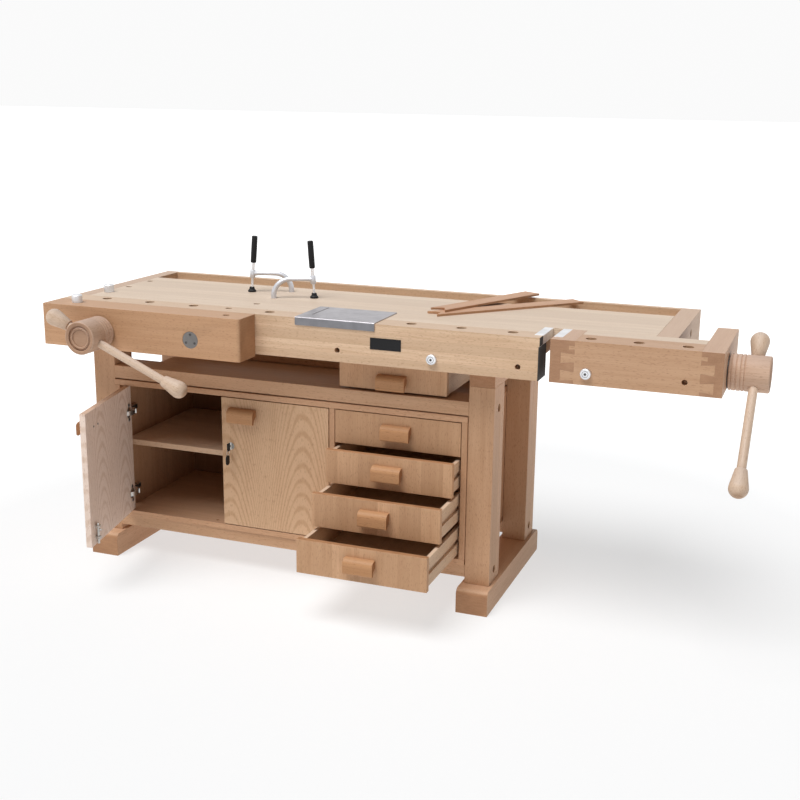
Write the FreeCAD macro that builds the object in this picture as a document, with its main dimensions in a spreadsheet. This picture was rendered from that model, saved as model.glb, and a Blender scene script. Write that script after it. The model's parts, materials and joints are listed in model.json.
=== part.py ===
import FreeCAD, Part
import math
import operator
import os

import Sketcher

# A joiner's workbench in beech: a thick top with a tool well, a front vise at the left, an L-shaped
# tail vise with dovetailed corners at the right, a trestle base and a cabinet with two doors and
# four drawers between the trestles. X runs along the bench to the right, Y to the back and Z up.
# The origin lies on the floor, under the middle of the whole bench. Places are given as distances
# from the bench's left end, from the face of its apron and from the floor.

doc = FreeCAD.newDocument("workbench")
sheet = doc.addObject("Spreadsheet::Sheet", "Sizes")
nodes = []


class Size:
    """A number in millimetres or degrees, with the sheet formula that gives it."""

    def __init__(self, number, text):
        self.number = number
        self.text = text


def as_size(value):
    return value if isinstance(value, Size) else Size(value, str(value))


def joined(sign, work):
    """The two methods that join sizes with one sign, so that formulas read as plain sums."""

    def forward(self, other):
        other = as_size(other)
        return Size(work(self.number, other.number), f"({self.text} {sign} {other.text})")

    def swapped(self, other):
        return forward(as_size(other), self)

    return forward, swapped


Size.__add__, Size.__radd__ = joined("+", operator.add)
Size.__sub__, Size.__rsub__ = joined("-", operator.sub)
Size.__mul__, Size.__rmul__ = joined("*", operator.mul)
Size.__truediv__, Size.__rtruediv__ = joined("/", operator.truediv)


def sine(angle):
    angle = as_size(angle)
    return Size(math.sin(math.radians(angle.number)), f"sin({angle.text} * 1 deg)")


def cosine(angle):
    return sine(90 - as_size(angle))


def size(name, number):
    """A driving size: one cell of the sheet, with its name as the alias."""
    row = size.rows = getattr(size, "rows", 0) + 1
    sheet.set(f"A{row}", name)
    sheet.set(f"B{row}", str(number))
    sheet.setAlias(f"B{row}", name)
    return Size(number, f"Sizes.{name}")


def bind(thing, **values):
    """Ties properties of an object to sizes. A double underscore in a name stands for a dot."""
    for name, value in values.items():
        thing.setExpression(name.replace("__", "."), as_size(value).text)


def place(thing, x, y, z, axis=None, angle=0):
    """Stands a piece at its place, turned about an axis through that place."""
    if axis:
        turn = FreeCAD.Rotation(FreeCAD.Vector(*axis), as_size(angle).number)
        thing.Placement = FreeCAD.Placement(FreeCAD.Vector(), turn)
        bind(thing, Placement__Rotation__Angle=angle)
    bind(thing, Placement__Base__x=left_end + x, Placement__Base__y=apron_face + y, Placement__Base__z=z)
    return thing


def put(thing, x, y, z, axis=None, angle=0):
    """Places a piece in the frame of a sub-assembly that is set down later as one."""
    return place(thing, x - left_end, y - apron_face, z, axis, angle)


def block(name, x, y, z, length, width, height, where=place):
    box = doc.addObject("Part::Box", name)
    bind(box, Length=length, Width=width, Height=height)
    return where(box, x, y, z)


ALONG = {"x": ((0, 1, 0), 90), "y": ((1, 0, 0), -90), "z": (None, 0)}


def rod(name, along, radius, length, x, y, z, where=place):
    """A round bar that starts at its place and runs along an axis."""
    cylinder = doc.addObject("Part::Cylinder", name)
    bind(cylinder, Radius=radius, Height=length)
    return where(cylinder, x, y, z, *ALONG[along])


def group(name, *pieces):
    compound = doc.addObject("Part::Compound", name)
    compound.Links = list(pieces)
    return compound


def joined_up(name, *pieces):
    fusion = doc.addObject("Part::MultiFuse", name)
    fusion.Shapes = list(pieces)
    return fusion


def cut(name, base, *tools):
    result = doc.addObject("Part::Cut", name)
    result.Base = base
    result.Tool = tools[0] if len(tools) == 1 else joined_up(name + "_cuts", *tools)
    return result


def set_down(name, piece, x, y, z, angle):
    """Sets a piece that was made about its own upright axis down on the bench, turned about it."""
    return place(group(name, piece), x, y, z, (0, 0, 1), angle)


def node(name, piece):
    """Marks an object as a finished sub-part."""
    piece.Label = name
    nodes.append(piece)
    return piece


PLANES = {"xy": "XY_Plane", "xz": "XZ_Plane", "yz": "YZ_Plane"}


def outline(body, plane, corners):
    """A closed sketch. Each corner is two sizes. A third one makes the side that leaves the corner
    an arc of that radius, bulging to the right of the way round, or to the left where negative."""
    sketch = body.newObject("Sketcher::SketchObject", body.Name + "_outline")
    face = [part for part in body.Origin.OriginFeatures if part.Role == PLANES[plane]][0]
    sketch.AttachmentSupport = (face, "")
    sketch.MapMode = "FlatFace"
    points = [FreeCAD.Vector(as_size(c[0]).number, as_size(c[1]).number, 0) for c in corners]
    starts = []
    for place_in_row, corner in enumerate(corners):
        start = points[place_in_row]
        end = points[(place_in_row + 1) % len(points)]
        if len(corner) == 2:
            starts.append((sketch.addGeometry(Part.LineSegment(start, end)), 1, 2))
            continue
        radius = as_size(corner[2]).number
        half = (end - start) * 0.5
        side = FreeCAD.Vector(-half.y, half.x, 0).normalize()
        if radius < 0:
            side = side * -1
        centre = start + half + side * (radius**2 - half.Length**2) ** 0.5
        circle = Part.Circle(centre, FreeCAD.Vector(0, 0, 1), abs(radius))
        first, second = (start, end) if radius > 0 else (end, start)
        arc = Part.ArcOfCircle(circle, circle.parameter(first), circle.parameter(second))
        index = sketch.addGeometry(arc)
        starts.append((index, 1, 2) if radius > 0 else (index, 2, 1))
        rule = sketch.addConstraint(Sketcher.Constraint("Radius", index, abs(radius)))
        bound = as_size(corner[2]) if radius > 0 else 0 - as_size(corner[2])
        sketch.setExpression(f"Constraints[{rule}]", bound.text)
    for place_in_row, corner in enumerate(corners):
        index, first, _ = starts[place_in_row]
        before, _, last = starts[place_in_row - 1]
        sketch.addConstraint(Sketcher.Constraint("Coincident", before, last, index, first))
        for kind, value in zip(("DistanceX", "DistanceY"), corner[:2]):
            value = as_size(value)
            rule = Sketcher.Constraint(kind, -1, 1, index, first, value.number)
            sketch.setExpression(f"Constraints[{sketch.addConstraint(rule)}]", value.text)
    return sketch


def slab_of(name, plane, corners, thickness):
    """A board sawn to an outline: the outline's pad, in a body of its own."""
    body = doc.addObject("PartDesign::Body", name)
    sketch = outline(body, plane, corners)
    pad = body.newObject("PartDesign::Pad", name + "_pad")
    pad.Profile = sketch
    pad.Reversed = plane == "xz"
    bind(pad, Length=thickness)
    return body


def turned(name, corners):
    """A piece off the lathe: an outline of radius and height, spun about the upright axis."""
    body = doc.addObject("PartDesign::Body", name)
    sketch = outline(body, "xz", corners)
    spin = body.newObject("PartDesign::Revolution", name + "_spin")
    spin.Profile = sketch
    spin.ReferenceAxis = (sketch, ["V_Axis"])
    spin.Angle = 360
    return body


# ---- Sizes --------------------------------------------------------------------------------------

left_end = size("left_end", -1096)
apron_face = size("apron_face", -188)
clearance = size("clearance", 0.3)
running = size("running", 0.08)

# the top
bench_height = size("bench_height", 880)
notch_length = size("notch_length", 357)
top_depth = size("top_depth", 650)
frame_height = size("frame_height", 124)
apron_length = size("apron_length", 1579)
apron_thickness = size("apron_thickness", 80)
slab_thickness = size("slab_thickness", 60)
left_cap_width = size("left_cap_width", 50)
right_cap_width = size("right_cap_width", 60)
well_width = size("well_width", 131)
well_depth = size("well_depth", 45)
back_rail_thickness = size("back_rail_thickness", 22)
well_floor_thickness = size("well_floor_thickness", 12)
groove_depth = size("groove_depth", 6)
notch_depth = size("notch_depth", 160)

# holes for dogs, holdfasts and pegs
dog_hole_radius = size("dog_hole_radius", 15)
dog_row = size("dog_row", 50)
left_row_start = size("left_row_start", 138)
left_row_pitch = size("left_row_pitch", 158)
right_row_end = size("right_row_end", 91)
right_row_pitch = size("right_row_pitch", 153.8)
small_hole_radius = size("small_hole_radius", 10)
left_column = size("left_column", 70)
middle_column = size("middle_column", 618)
first_row = size("first_row", 161)
second_row = size("second_row", 280)
third_row_inset = size("third_row_inset", 84)
apron_small_hole = size("apron_small_hole", 575)
peg_hole_radius = size("peg_hole_radius", 8)
peg_hole_drop = size("peg_hole_drop", 89)

# both vises
vise_screw_radius = size("vise_screw_radius", 14)
screw_room = size("screw_room", 1)
collar_radius = size("collar_radius", 21)
collar_width = size("collar_width", 7)
hub_radius = size("hub_radius", 51)
hub_length = size("hub_length", 110)
flange_thickness = size("flange_thickness", 3)
flange_radius = size("flange_radius", 46)
handle_reach = size("handle_reach", 72)
handle_radius = size("handle_radius", 12.5)
handle_span = size("handle_span", 330)
handle_socket = size("handle_socket", 30)
hub_socket = size("hub_socket", 52)
knob_length = size("knob_length", 98)
knob_radius = size("knob_radius", 27)
knob_neck_radius = size("knob_neck_radius", 15)

# the front vise
jaw_length = size("jaw_length", 693.5)
jaw_thickness = size("jaw_thickness", 101)
jaw_height = size("jaw_height", 131)
jaw_corner_radius = size("jaw_corner_radius", 12)
front_screw_x = size("front_screw_x", 209.6)
guide_rod_x = size("guide_rod_x", 526)
guide_rod_radius = size("guide_rod_radius", 15)
guide_disc_radius = size("guide_disc_radius", 26)
front_rod_length = size("front_rod_length", 380)
nut_wall = size("nut_wall", 7)
nut_plate_width = size("nut_plate_width", 70)
nut_plate_thickness = size("nut_plate_thickness", 18)
bush_block_depth = size("bush_block_depth", 60)
front_handle_tilt = size("front_handle_tilt", 23.5)
jaw_dog_x = size("jaw_dog_x", 93)
jaw_hole_inset = size("jaw_hole_inset", 70.5)

# the tail vise
tail_gap = size("tail_gap", 30)
tail_length = size("tail_length", 472)
tail_height = size("tail_height", 123)
tail_front_thickness = size("tail_front_thickness", 100)
tail_cover_thickness = size("tail_cover_thickness", 30)
tail_slip = size("tail_slip", 0.6)
jaw_block_length = size("jaw_block_length", 69)
jaw_block_lap = size("jaw_block_lap", 31)
end_block_length = size("end_block_length", 60)
end_block_lap = size("end_block_lap", 23.5)
end_block_reach = size("end_block_reach", 363)
dovetail_flare = size("dovetail_flare", 4)
low_dovetail_rise = size("low_dovetail_rise", 12)
high_dovetail_rise = size("high_dovetail_rise", 62)
dovetail_height = size("dovetail_height", 22)
short_dovetail_rise = size("short_dovetail_rise", 99)
short_dovetail_height = size("short_dovetail_height", 8)
tail_screw_y = size("tail_screw_y", 129.5)
tail_screw_end_gap = size("tail_screw_end_gap", 6.3)
tail_nut_setback = size("tail_nut_setback", 122)
tail_nut_length = size("tail_nut_length", 50)
tail_nut_front = size("tail_nut_front", 104)
tail_nut_drop = size("tail_nut_drop", 24)
tail_handle_tilt = size("tail_handle_tilt", 45.9)
tail_dog_start = size("tail_dog_start", 104)
tail_dog_end = size("tail_dog_end", 42)
jaw_bar_size = size("jaw_bar_size", 26)
jaw_bar_front = size("jaw_bar_front", 38)
jaw_facing_thickness = size("jaw_facing_thickness", 3)
guide_bar_size = size("guide_bar_size", 40)
guide_bar_y = size("guide_bar_y", 280)
guide_bar_length = size("guide_bar_length", 476)
guide_bar_mortise = size("guide_bar_mortise", 40)
guide_rail_height = size("guide_rail_height", 16)
guide_rail_depth = size("guide_rail_depth", 6)
guide_rail_start = size("guide_rail_start", 6)
guide_rail_end = size("guide_rail_end", 117)
guide_rail_rise = size("guide_rail_rise", 6)

# the base
leg_width = size("leg_width", 78.5)
leg_depth = size("leg_depth", 104)
leg_setback = size("leg_setback", 5)
leg_back_inset = size("leg_back_inset", 44)
right_foot_x = size("right_foot_x", 1341)
foot_width = size("foot_width", 100)
foot_height = size("foot_height", 78)
foot_front = size("foot_front", 35)
foot_back_inset = size("foot_back_inset", 10)
foot_round = size("foot_round", 19)
top_rail_height = size("top_rail_height", 120)
tenon_length = size("tenon_length", 40)
tenon_thickness = size("tenon_thickness", 30)
tenon_width = size("tenon_width", 64)
upper_stretcher_height = size("upper_stretcher_height", 43)
lower_stretcher_rise = size("lower_stretcher_rise", 20)
lower_stretcher_height = size("lower_stretcher_height", 39)
bolt_radius = size("bolt_radius", 5)
bolt_length = size("bolt_length", 130)
bolt_head_radius = size("bolt_head_radius", 9)
bolt_head_height = size("bolt_head_height", 6)
bolt_recess_radius = size("bolt_recess_radius", 12)
bolt_recess_depth = size("bolt_recess_depth", 12)

# the cabinet
cabinet_proud = size("cabinet_proud", 5)
cabinet_overlap = size("cabinet_overlap", 55)
cabinet_headroom = size("cabinet_headroom", 3)
cabinet_side_gap = size("cabinet_side_gap", 1)
board = size("board", 18)
back_panel_thickness = size("back_panel_thickness", 8)
back_panel_setback = size("back_panel_setback", 4)
shelf_height = size("shelf_height", 225)
shelf_setback = size("shelf_setback", 25)
bay_width = size("bay_width", 412)
front_gap = size("front_gap", 2.5)
door_thickness = size("door_thickness", 19)
left_door_open = size("left_door_open", 78)
pivot_inset = size("pivot_inset", 12)
hinge_height = size("hinge_height", 62)
cup_radius = size("cup_radius", 17.5)
cup_depth = size("cup_depth", 11)
cup_inset = size("cup_inset", 22.5)
lock_drop = size("lock_drop", 160)
lock_inset = size("lock_inset", 31)

# drawers and pulls
drawer_side = size("drawer_side", 12)
drawer_bottom = size("drawer_bottom", 6)
drawer_room_behind = size("drawer_room_behind", 35)
drawer_side_gap = size("drawer_side_gap", 6)
drawer_side_drop = size("drawer_side_drop", 10)
runner_height = size("runner_height", 16)
runner_bite = size("runner_bite", 7)
runner_room_behind = size("runner_room_behind", 44)
second_drawer_open = size("second_drawer_open", 74)
third_drawer_open = size("third_drawer_open", 177)
fourth_drawer_open = size("fourth_drawer_open", 286)
top_drawer_inset = size("top_drawer_inset", 72.75)
top_drawer_width = size("top_drawer_width", 348)
top_drawer_front = size("top_drawer_front", 95)
top_drawer_gap = size("top_drawer_gap", 6)
top_drawer_height = size("top_drawer_height", 92)
top_drawer_room_behind = size("top_drawer_room_behind", 22)
top_runner_width = size("top_runner_width", 30)
top_tongue_drop = size("top_tongue_drop", 22)
top_tongue = size("top_tongue", 12)
pull_width = size("pull_width", 93)
pull_height = size("pull_height", 46)
pull_depth = size("pull_depth", 26)
pull_inset = size("pull_inset", 30)

# loose tools on the top
dog_head_radius = size("dog_head_radius", 16.5)
dog_head_height = size("dog_head_height", 25)
dog_shank_length = size("dog_shank_length", 55)
peg_head_radius = size("peg_head_radius", 15.3)
peg_head_height = size("peg_head_height", 13)
peg_shank_length = size("peg_shank_length", 30)
holdfast_reach = size("holdfast_reach", 128)
holdfast_height = size("holdfast_height", 62)
holdfast_bend = size("holdfast_bend", 35)
holdfast_bar_radius = size("holdfast_bar_radius", 8)
holdfast_post_radius = size("holdfast_post_radius", 9)
holdfast_post_depth = size("holdfast_post_depth", 80)
holdfast_turn = size("holdfast_turn", 23.5)
spindle_lean = size("spindle_lean", 4)
spindle_radius = size("spindle_radius", 4.3)
boss_radius = size("boss_radius", 9)
boss_height = size("boss_height", 26)
grip_radius = size("grip_radius", 10.5)
grip_length = size("grip_length", 90)
shoe_radius = size("shoe_radius", 13.5)
shoe_height = size("shoe_height", 17)
plate_x = size("plate_x", 828)
plate_length = size("plate_length", 256)
plate_depth = size("plate_depth", 185)
plate_thickness = size("plate_thickness", 3)
plate_lip = size("plate_lip", 22)
batten_width = size("batten_width", 60)
batten_thickness = size("batten_thickness", 7)
long_batten_length = size("long_batten_length", 541)
short_batten_length = size("short_batten_length", 460)
long_batten_x = size("long_batten_x", 1190)
long_batten_y = size("long_batten_y", 205)
long_batten_angle = size("long_batten_angle", 48.3)
short_batten_x = size("short_batten_x", 1197)
short_batten_y = size("short_batten_y", 238)
short_batten_angle = size("short_batten_angle", 66)

# places that several pieces share
top_length = apron_length + notch_length
right_row_start = apron_length - right_row_end - right_row_pitch * 5
slab_bottom = bench_height - slab_thickness
frame_bottom = bench_height - frame_height
well_front = top_depth - back_rail_thickness - well_width
well_top = bench_height - well_depth
right_cap_x = top_length - right_cap_width
third_row = well_front - third_row_inset
leg_front = apron_thickness + leg_setback
back_leg_front = top_depth - leg_back_inset - leg_depth
foot_length = top_depth - foot_back_inset - foot_front
lower_stretcher_z = foot_height + lower_stretcher_rise
top_drawer_z = frame_bottom - top_drawer_gap - top_drawer_height
upper_stretcher_z = top_drawer_z - top_drawer_gap - upper_stretcher_height
leg_top = slab_bottom - top_rail_height
leg_inset = (foot_width - leg_width) / 2
left_leg_x = left_cap_width
foot_x = left_leg_x - leg_inset
right_leg_x = right_foot_x + leg_inset
between_legs_x = left_leg_x + leg_width
between_legs = right_leg_x - between_legs_x
screw_drop = slab_thickness + guide_rod_radius + screw_room
screw_z = bench_height - screw_drop
jaw_hole_x = jaw_length - jaw_hole_inset
tail_x = apron_length + tail_gap
tail_bottom = bench_height - tail_height
tail_back = notch_depth - tail_slip
end_block_x = tail_x + tail_length - end_block_length
tail_dog_pitch = (end_block_x - tail_dog_end - tail_x - tail_dog_start) / 2

# ---- The top ------------------------------------------------------------------------------------
# The slab is glued up from beech staves. The apron stands under its front edge, and the end caps
# and the back rail close the frame round the tool well.


def down_hole(name, radius, x, y, where=place):
    """The cutter of a hole that goes straight down through the full height of the frame."""
    return rod(name, "z", radius, frame_height + jaw_height, x, y, bench_height - frame_height - 10, where)


def side_hole(name, x):
    """The cutter of a peg hole that goes straight in from the front."""
    return rod(name, "y", peg_hole_radius, tail_front_thickness + 1, x, -1, bench_height - peg_hole_drop)


def make_apron():
    blank = block("apron_blank", 0, 0, frame_bottom, apron_length, apron_thickness, frame_height)
    cutters = [down_hole("small_apron_hole", small_hole_radius, apron_small_hole, dog_row + 5)]
    for start, pitch, count in ((left_row_start, left_row_pitch, 3), (right_row_start, right_row_pitch, 6)):
        for place_in_row in range(count):
            where = start + place_in_row * pitch
            cutters.append(down_hole("dog_hole", dog_hole_radius, where, dog_row))
    for peg_x in peg_places:
        cutters.append(side_hole("peg_hole", peg_x))
    cutters.append(rod("screw_way", "y", nut_radius, apron_thickness + 2, front_screw_x, -1, screw_z))
    cutters.append(rod("guide_way", "y", bush_radius, apron_thickness + 2, guide_rod_x, -1, screw_z))
    facing = block(
        "jaw_bar_seat",
        apron_length - jaw_bar_size,
        jaw_bar_front,
        bench_height - jaw_bar_size,
        jaw_bar_size + 1,
        notch_depth,
        jaw_bar_size + 1,
    )
    cutters += [facing, jaw_leather("leather_seat")]
    return node("front_apron", cut("apron", blank, *cutters))


def make_slab():
    length = right_cap_x - left_cap_width
    blank = block(
        "slab_blank",
        left_cap_width,
        apron_thickness,
        slab_bottom,
        length,
        well_front - apron_thickness,
        slab_thickness,
    )
    notch = block(
        "tail_notch",
        apron_length,
        apron_thickness - 1,
        slab_bottom - 1,
        right_cap_x - apron_length + 1,
        notch_depth - apron_thickness + 1,
        slab_thickness + 2,
    )
    bar_seat = block(
        "slab_bar_seat",
        apron_length - jaw_bar_size,
        jaw_bar_front,
        bench_height - jaw_bar_size,
        jaw_bar_size + 1,
        notch_depth - jaw_bar_front,
        jaw_bar_size + 1,
    )
    cutters = [notch, bar_seat, floor_board("slab_floor_groove")]
    for column in (left_column, middle_column):
        for row in (first_row, second_row, third_row):
            cutters.append(down_hole("small_hole", small_hole_radius, column, row))
    cutters += cap_bolt_cutters("slab")
    return node("top_slab", cut("slab", blank, *cutters))


def floor_board(name):
    """The well's floor, with its edges let into the slab and the back rail."""
    return block(
        name,
        left_cap_width,
        well_front - groove_depth,
        well_top - well_floor_thickness,
        right_cap_x - left_cap_width,
        well_width + groove_depth * 2,
        well_floor_thickness,
    )


def make_well():
    node("well_floor", floor_board("floor"))
    rail = block(
        "rail_blank",
        left_cap_width,
        top_depth - back_rail_thickness,
        frame_bottom,
        right_cap_x - left_cap_width,
        back_rail_thickness,
        frame_height,
    )
    node("back_rail", cut("rail", rail, floor_board("rail_floor_groove")))


cap_bolt_inset = size("cap_bolt_inset", 64)
cap_bolt_spacing = size("cap_bolt_spacing", 208)
cap_bolt_rows = (well_front - cap_bolt_inset - cap_bolt_spacing, well_front - cap_bolt_inset)
cap_bolt_z = slab_bottom + size("cap_bolt_rise", 24)


def bolt(name, x, y, z, sign):
    """A bolt along X: a head in a recess and a shank that goes on into the next piece."""
    if sign > 0:
        head = rod(name + "_head", "x", bolt_head_radius, bolt_head_height, x, y, z)
        shank = rod(name + "_shank", "x", bolt_radius, bolt_length, x, y, z)
    else:
        head = rod(name + "_head", "x", bolt_head_radius, bolt_head_height, x - bolt_head_height, y, z)
        shank = rod(name + "_shank", "x", bolt_radius, bolt_length, x - bolt_length, y, z)
    return joined_up(name, head, shank)


def bolt_cutters(name, face, y, z, sign):
    """The recess and the way of a bolt that enters at a face."""
    depth = bolt_recess_depth
    way = bolt_length + depth + 1
    start = face if sign > 0 else face - way
    mouth = face - 1 if sign > 0 else face - depth
    return [
        rod(name + "_way", "x", bolt_radius + clearance, way, start, y, z),
        rod(name + "_recess", "x", bolt_recess_radius, depth + 1, mouth, y, z),
    ]


def cap_bolt_cutters(name):
    cutters = []
    for row in cap_bolt_rows:
        cutters += bolt_cutters(name + "_left", as_size(0), row, cap_bolt_z, 1)
        cutters += bolt_cutters(name + "_right", top_length, row, cap_bolt_z, -1)
    return cutters


def make_caps():
    blank = block(
        "left_cap_blank",
        0,
        apron_thickness,
        frame_bottom,
        left_cap_width,
        top_depth - apron_thickness,
        frame_height,
    )
    node("left_end_cap", cut("left_cap", blank, *cap_bolt_cutters("left_cap")))
    blank = block(
        "right_cap_blank",
        right_cap_x,
        notch_depth,
        frame_bottom,
        right_cap_width,
        top_depth - notch_depth,
        frame_height,
    )
    way = guide_bar_way("cap_guide_way", right_cap_x - 1, right_cap_width + 2)
    node("right_end_cap", cut("right_cap", blank, way, *cap_bolt_cutters("right_cap")))


def guide_bar_way(name, x, length):
    """The square way of the tail vise's guide bar."""
    return block(
        name,
        x,
        guide_bar_y - tail_slip,
        guide_bar_z - tail_slip,
        length,
        guide_bar_size + tail_slip * 2,
        guide_bar_size + tail_slip * 2,
    )


def jaw_leather(name):
    return block(
        name,
        apron_length - jaw_facing_thickness,
        0,
        frame_bottom,
        jaw_facing_thickness,
        apron_thickness,
        frame_height - jaw_bar_size,
    )


def make_jaw_facing():
    """A steel bar let into the corner of the jaw, with a dark leather facing below it."""
    bar = block(
        "bench_bar",
        apron_length - jaw_bar_size,
        jaw_bar_front,
        bench_height - jaw_bar_size,
        jaw_bar_size,
        notch_depth - jaw_bar_front,
        jaw_bar_size,
    )
    node("bench_jaw_facing", group("bench_facing", bar, jaw_leather("bench_leather")))


right_peg_x = apron_length - size("right_peg_inset", 61.2)
middle_peg_x = right_peg_x - size("right_peg_spacing", 254.8)
left_peg_x = middle_peg_x - size("left_peg_spacing", 298.5)
peg_places = (left_peg_x, middle_peg_x, right_peg_x)
nut_radius = vise_screw_radius + nut_wall
bush_radius = guide_rod_radius + nut_wall
guide_bar_z = slab_bottom - guide_bar_size - 10

make_apron()
make_slab()
make_well()
make_caps()
make_jaw_facing()

# ---- The base -----------------------------------------------------------------------------------
# Two trestles, each with a rounded foot, two legs tenoned into it and a rail across their tops,
# are held apart by four stretchers. Bolts go through the legs into the stretchers' ends.


def make_leg(name, x, y):
    post = block(name + "_post", x, y, foot_height, leg_width, leg_depth, leg_top - foot_height)
    tenon = block(
        name + "_tenon",
        x + (leg_width - tenon_thickness) / 2,
        y + (leg_depth - tenon_width) / 2,
        foot_height - tenon_length,
        tenon_thickness,
        tenon_width,
        leg_top - foot_height + tenon_length * 2,
    )
    return joined_up(name, post, tenon)


def make_foot(name, x):
    side = foot_height - foot_round
    profile = [
        (0, 0),
        (foot_length, 0),
        (foot_length, side, foot_round),
        (foot_length - foot_round, foot_height),
        (foot_round, foot_height, foot_round),
        (0, side),
    ]
    foot = slab_of(name, "yz", profile, foot_width)
    return place(foot, x, foot_front, 0)


def make_stretcher(name, y, z, height):
    return block(name, between_legs_x, y, z, between_legs, leg_depth, height)


upper_bolt_z = upper_stretcher_z + upper_stretcher_height / 2
lower_bolt_z = lower_stretcher_z + lower_stretcher_height / 2
bolt_rows = [
    (y + leg_depth / 2, z) for y in (leg_front, back_leg_front) for z in (upper_bolt_z, lower_bolt_z)
]


def base_bolt_cutters(name):
    cutters = []
    for y, z in bolt_rows:
        cutters += bolt_cutters(name + "_left", left_leg_x, y, z, 1)
        cutters += bolt_cutters(name + "_right", right_leg_x + leg_width, y, z, -1)
    return cutters


def make_base():
    legs = [
        make_leg(f"{side}_{row}_leg", x, y)
        for side, x in (("left", left_leg_x), ("right", right_leg_x))
        for row, y in (("front", leg_front), ("back", back_leg_front))
    ]
    all_legs = group("all_legs", *legs)
    node("legs", cut("bored_legs", all_legs, *base_bolt_cutters("leg")))
    both_feet = group("both_feet", make_foot("left_foot", foot_x), make_foot("right_foot", right_foot_x))
    node("feet", cut("mortised_feet", both_feet, all_legs))
    rails = [
        block(
            side + "_rail_blank",
            x,
            leg_front,
            leg_top,
            leg_width,
            back_leg_front + leg_depth - leg_front,
            top_rail_height,
        )
        for side, x in (("left", left_leg_x), ("right", right_leg_x))
    ]
    node("top_rails", cut("mortised_rails", group("both_rails", *rails), all_legs))
    stretchers = [
        make_stretcher(f"{level}_{row}_stretcher", y, z, height)
        for level, z, height in (
            ("upper", upper_stretcher_z, upper_stretcher_height),
            ("lower", lower_stretcher_z, lower_stretcher_height),
        )
        for row, y in (("front", leg_front), ("back", back_leg_front))
    ]
    all_stretchers = group("all_stretchers", *stretchers)
    node("stretchers", cut("bored_stretchers", all_stretchers, *base_bolt_cutters("rail")))


def make_bolts():
    bolts = []
    for y, z in bolt_rows:
        bolts.append(bolt("left_bolt", left_leg_x + bolt_recess_depth - bolt_head_height, y, z, 1))
        right_seat = right_leg_x + leg_width - bolt_recess_depth + bolt_head_height
        bolts.append(bolt("right_bolt", right_seat, y, z, -1))
    for row in cap_bolt_rows:
        bolts.append(bolt("left_cap_bolt", bolt_recess_depth - bolt_head_height, row, cap_bolt_z, 1))
        right_seat = top_length - bolt_recess_depth + bolt_head_height
        bolts.append(bolt("right_cap_bolt", right_seat, row, cap_bolt_z, -1))
    node("frame_bolts", group("all_bolts", *bolts))


make_base()
make_bolts()

# ---- Vise hardware ------------------------------------------------------------------------------
# Each vise has a steel screw with a garter collar, a turned wooden hub on the screw's end, and a
# handle that slides through the hub between two turned knobs.


def hub_profile():
    """The hub stands on its jaw end. Fine beads ring that end, and the far face is dished."""
    radius = hub_radius
    corners = [(0, 0), (radius - 2, 0), (radius, 2)]
    for bead in range(3):
        low = 9 + bead * 11
        corners += [(radius, low), (radius - 1.8, low + 1.5), (radius, low + 3)]
    corners += [
        (radius, hub_length - 3),
        (radius - 3, hub_length),
        (radius - 11, hub_length),
        (radius - 14, hub_length - 4),
        (radius - 21, hub_length - 4),
        (radius - 23, hub_length - 2),
        (radius - 26, hub_length - 6),
        (0, hub_length - 6),
    ]
    return corners


def make_hub(name, tilt):
    """The hub, bored for the end of its screw and across for the handle."""
    blank = turned(name + "_turning", hub_profile())
    bore = rod(name + "_bore", "z", vise_screw_radius, hub_socket + 1, 0, 0, -1, put)
    half = hub_radius * 1.5
    lying = rod(name + "_cross", "x", handle_radius + clearance, half * 2, 0 - half, 0, 0, put)
    across = put(group(name + "_cross_way", lying), 0, 0, handle_middle, (0, 0, -1), tilt)
    return cut(name + "_bored", blank, bore, across)


def make_screw(name, collar, length):
    """The screw stands on the hub's face: its end goes down into the hub and up into the nut."""
    core = vise_screw_radius
    rim = collar_radius
    corners = [
        (0, 0 - hub_socket),
        (core, 0 - hub_socket),
        (core, collar),
        (rim, collar),
        (rim, collar + collar_width),
        (core, collar + collar_width),
        (core, length - 3),
        (core - 3, length),
        (0, length),
    ]
    return turned(name + "_turning", corners)


def make_knob(name):
    """A turned knob that stands on its neck, with a socket for the end of the bar."""
    neck = knob_neck_radius
    ball = knob_radius
    corners = [
        (0, handle_socket),
        (handle_radius, handle_socket),
        (handle_radius, 0),
        (neck, 0),
        (neck, 8, -62),
        (ball - 3, 44, 55),
        (ball - 3, knob_length - 18, 25),
        (0, knob_length),
    ]
    return turned(name, corners)


def make_handle(name):
    """The bar stands upright in the hub, with its short end above and resting on the hub."""
    top = hub_radius + clearance
    bottom = top - handle_span
    bar_length = handle_span + handle_socket * 2
    bar = rod(name + "_bar", "z", handle_radius, bar_length, 0, 0, bottom - handle_socket, put)
    upper = put(make_knob(name + "_upper_knob"), 0, 0, top)
    lower = put(make_knob(name + "_lower_knob"), 0, 0, bottom, (1, 0, 0), 180)
    return group(name + "_and_knobs", bar, upper, lower)


def make_flange(name):
    """A steel washer between the hub and the wood."""
    inner = vise_screw_radius + clearance
    profile = [(inner, 0), (flange_radius, 0), (flange_radius, flange_thickness), (inner, flange_thickness)]
    return turned(name, profile)


handle_middle = handle_reach - flange_thickness - clearance

# ---- The front vise -----------------------------------------------------------------------------
# A thick wooden jaw on the left half of the apron, driven by its screw and kept parallel by a
# steel rod. Nut and bush sit in the apron and reach out behind it.

jaw_back = 0 - clearance
jaw_front = jaw_back - jaw_thickness
front_hub_y = jaw_front - flange_thickness - clearance


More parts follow.
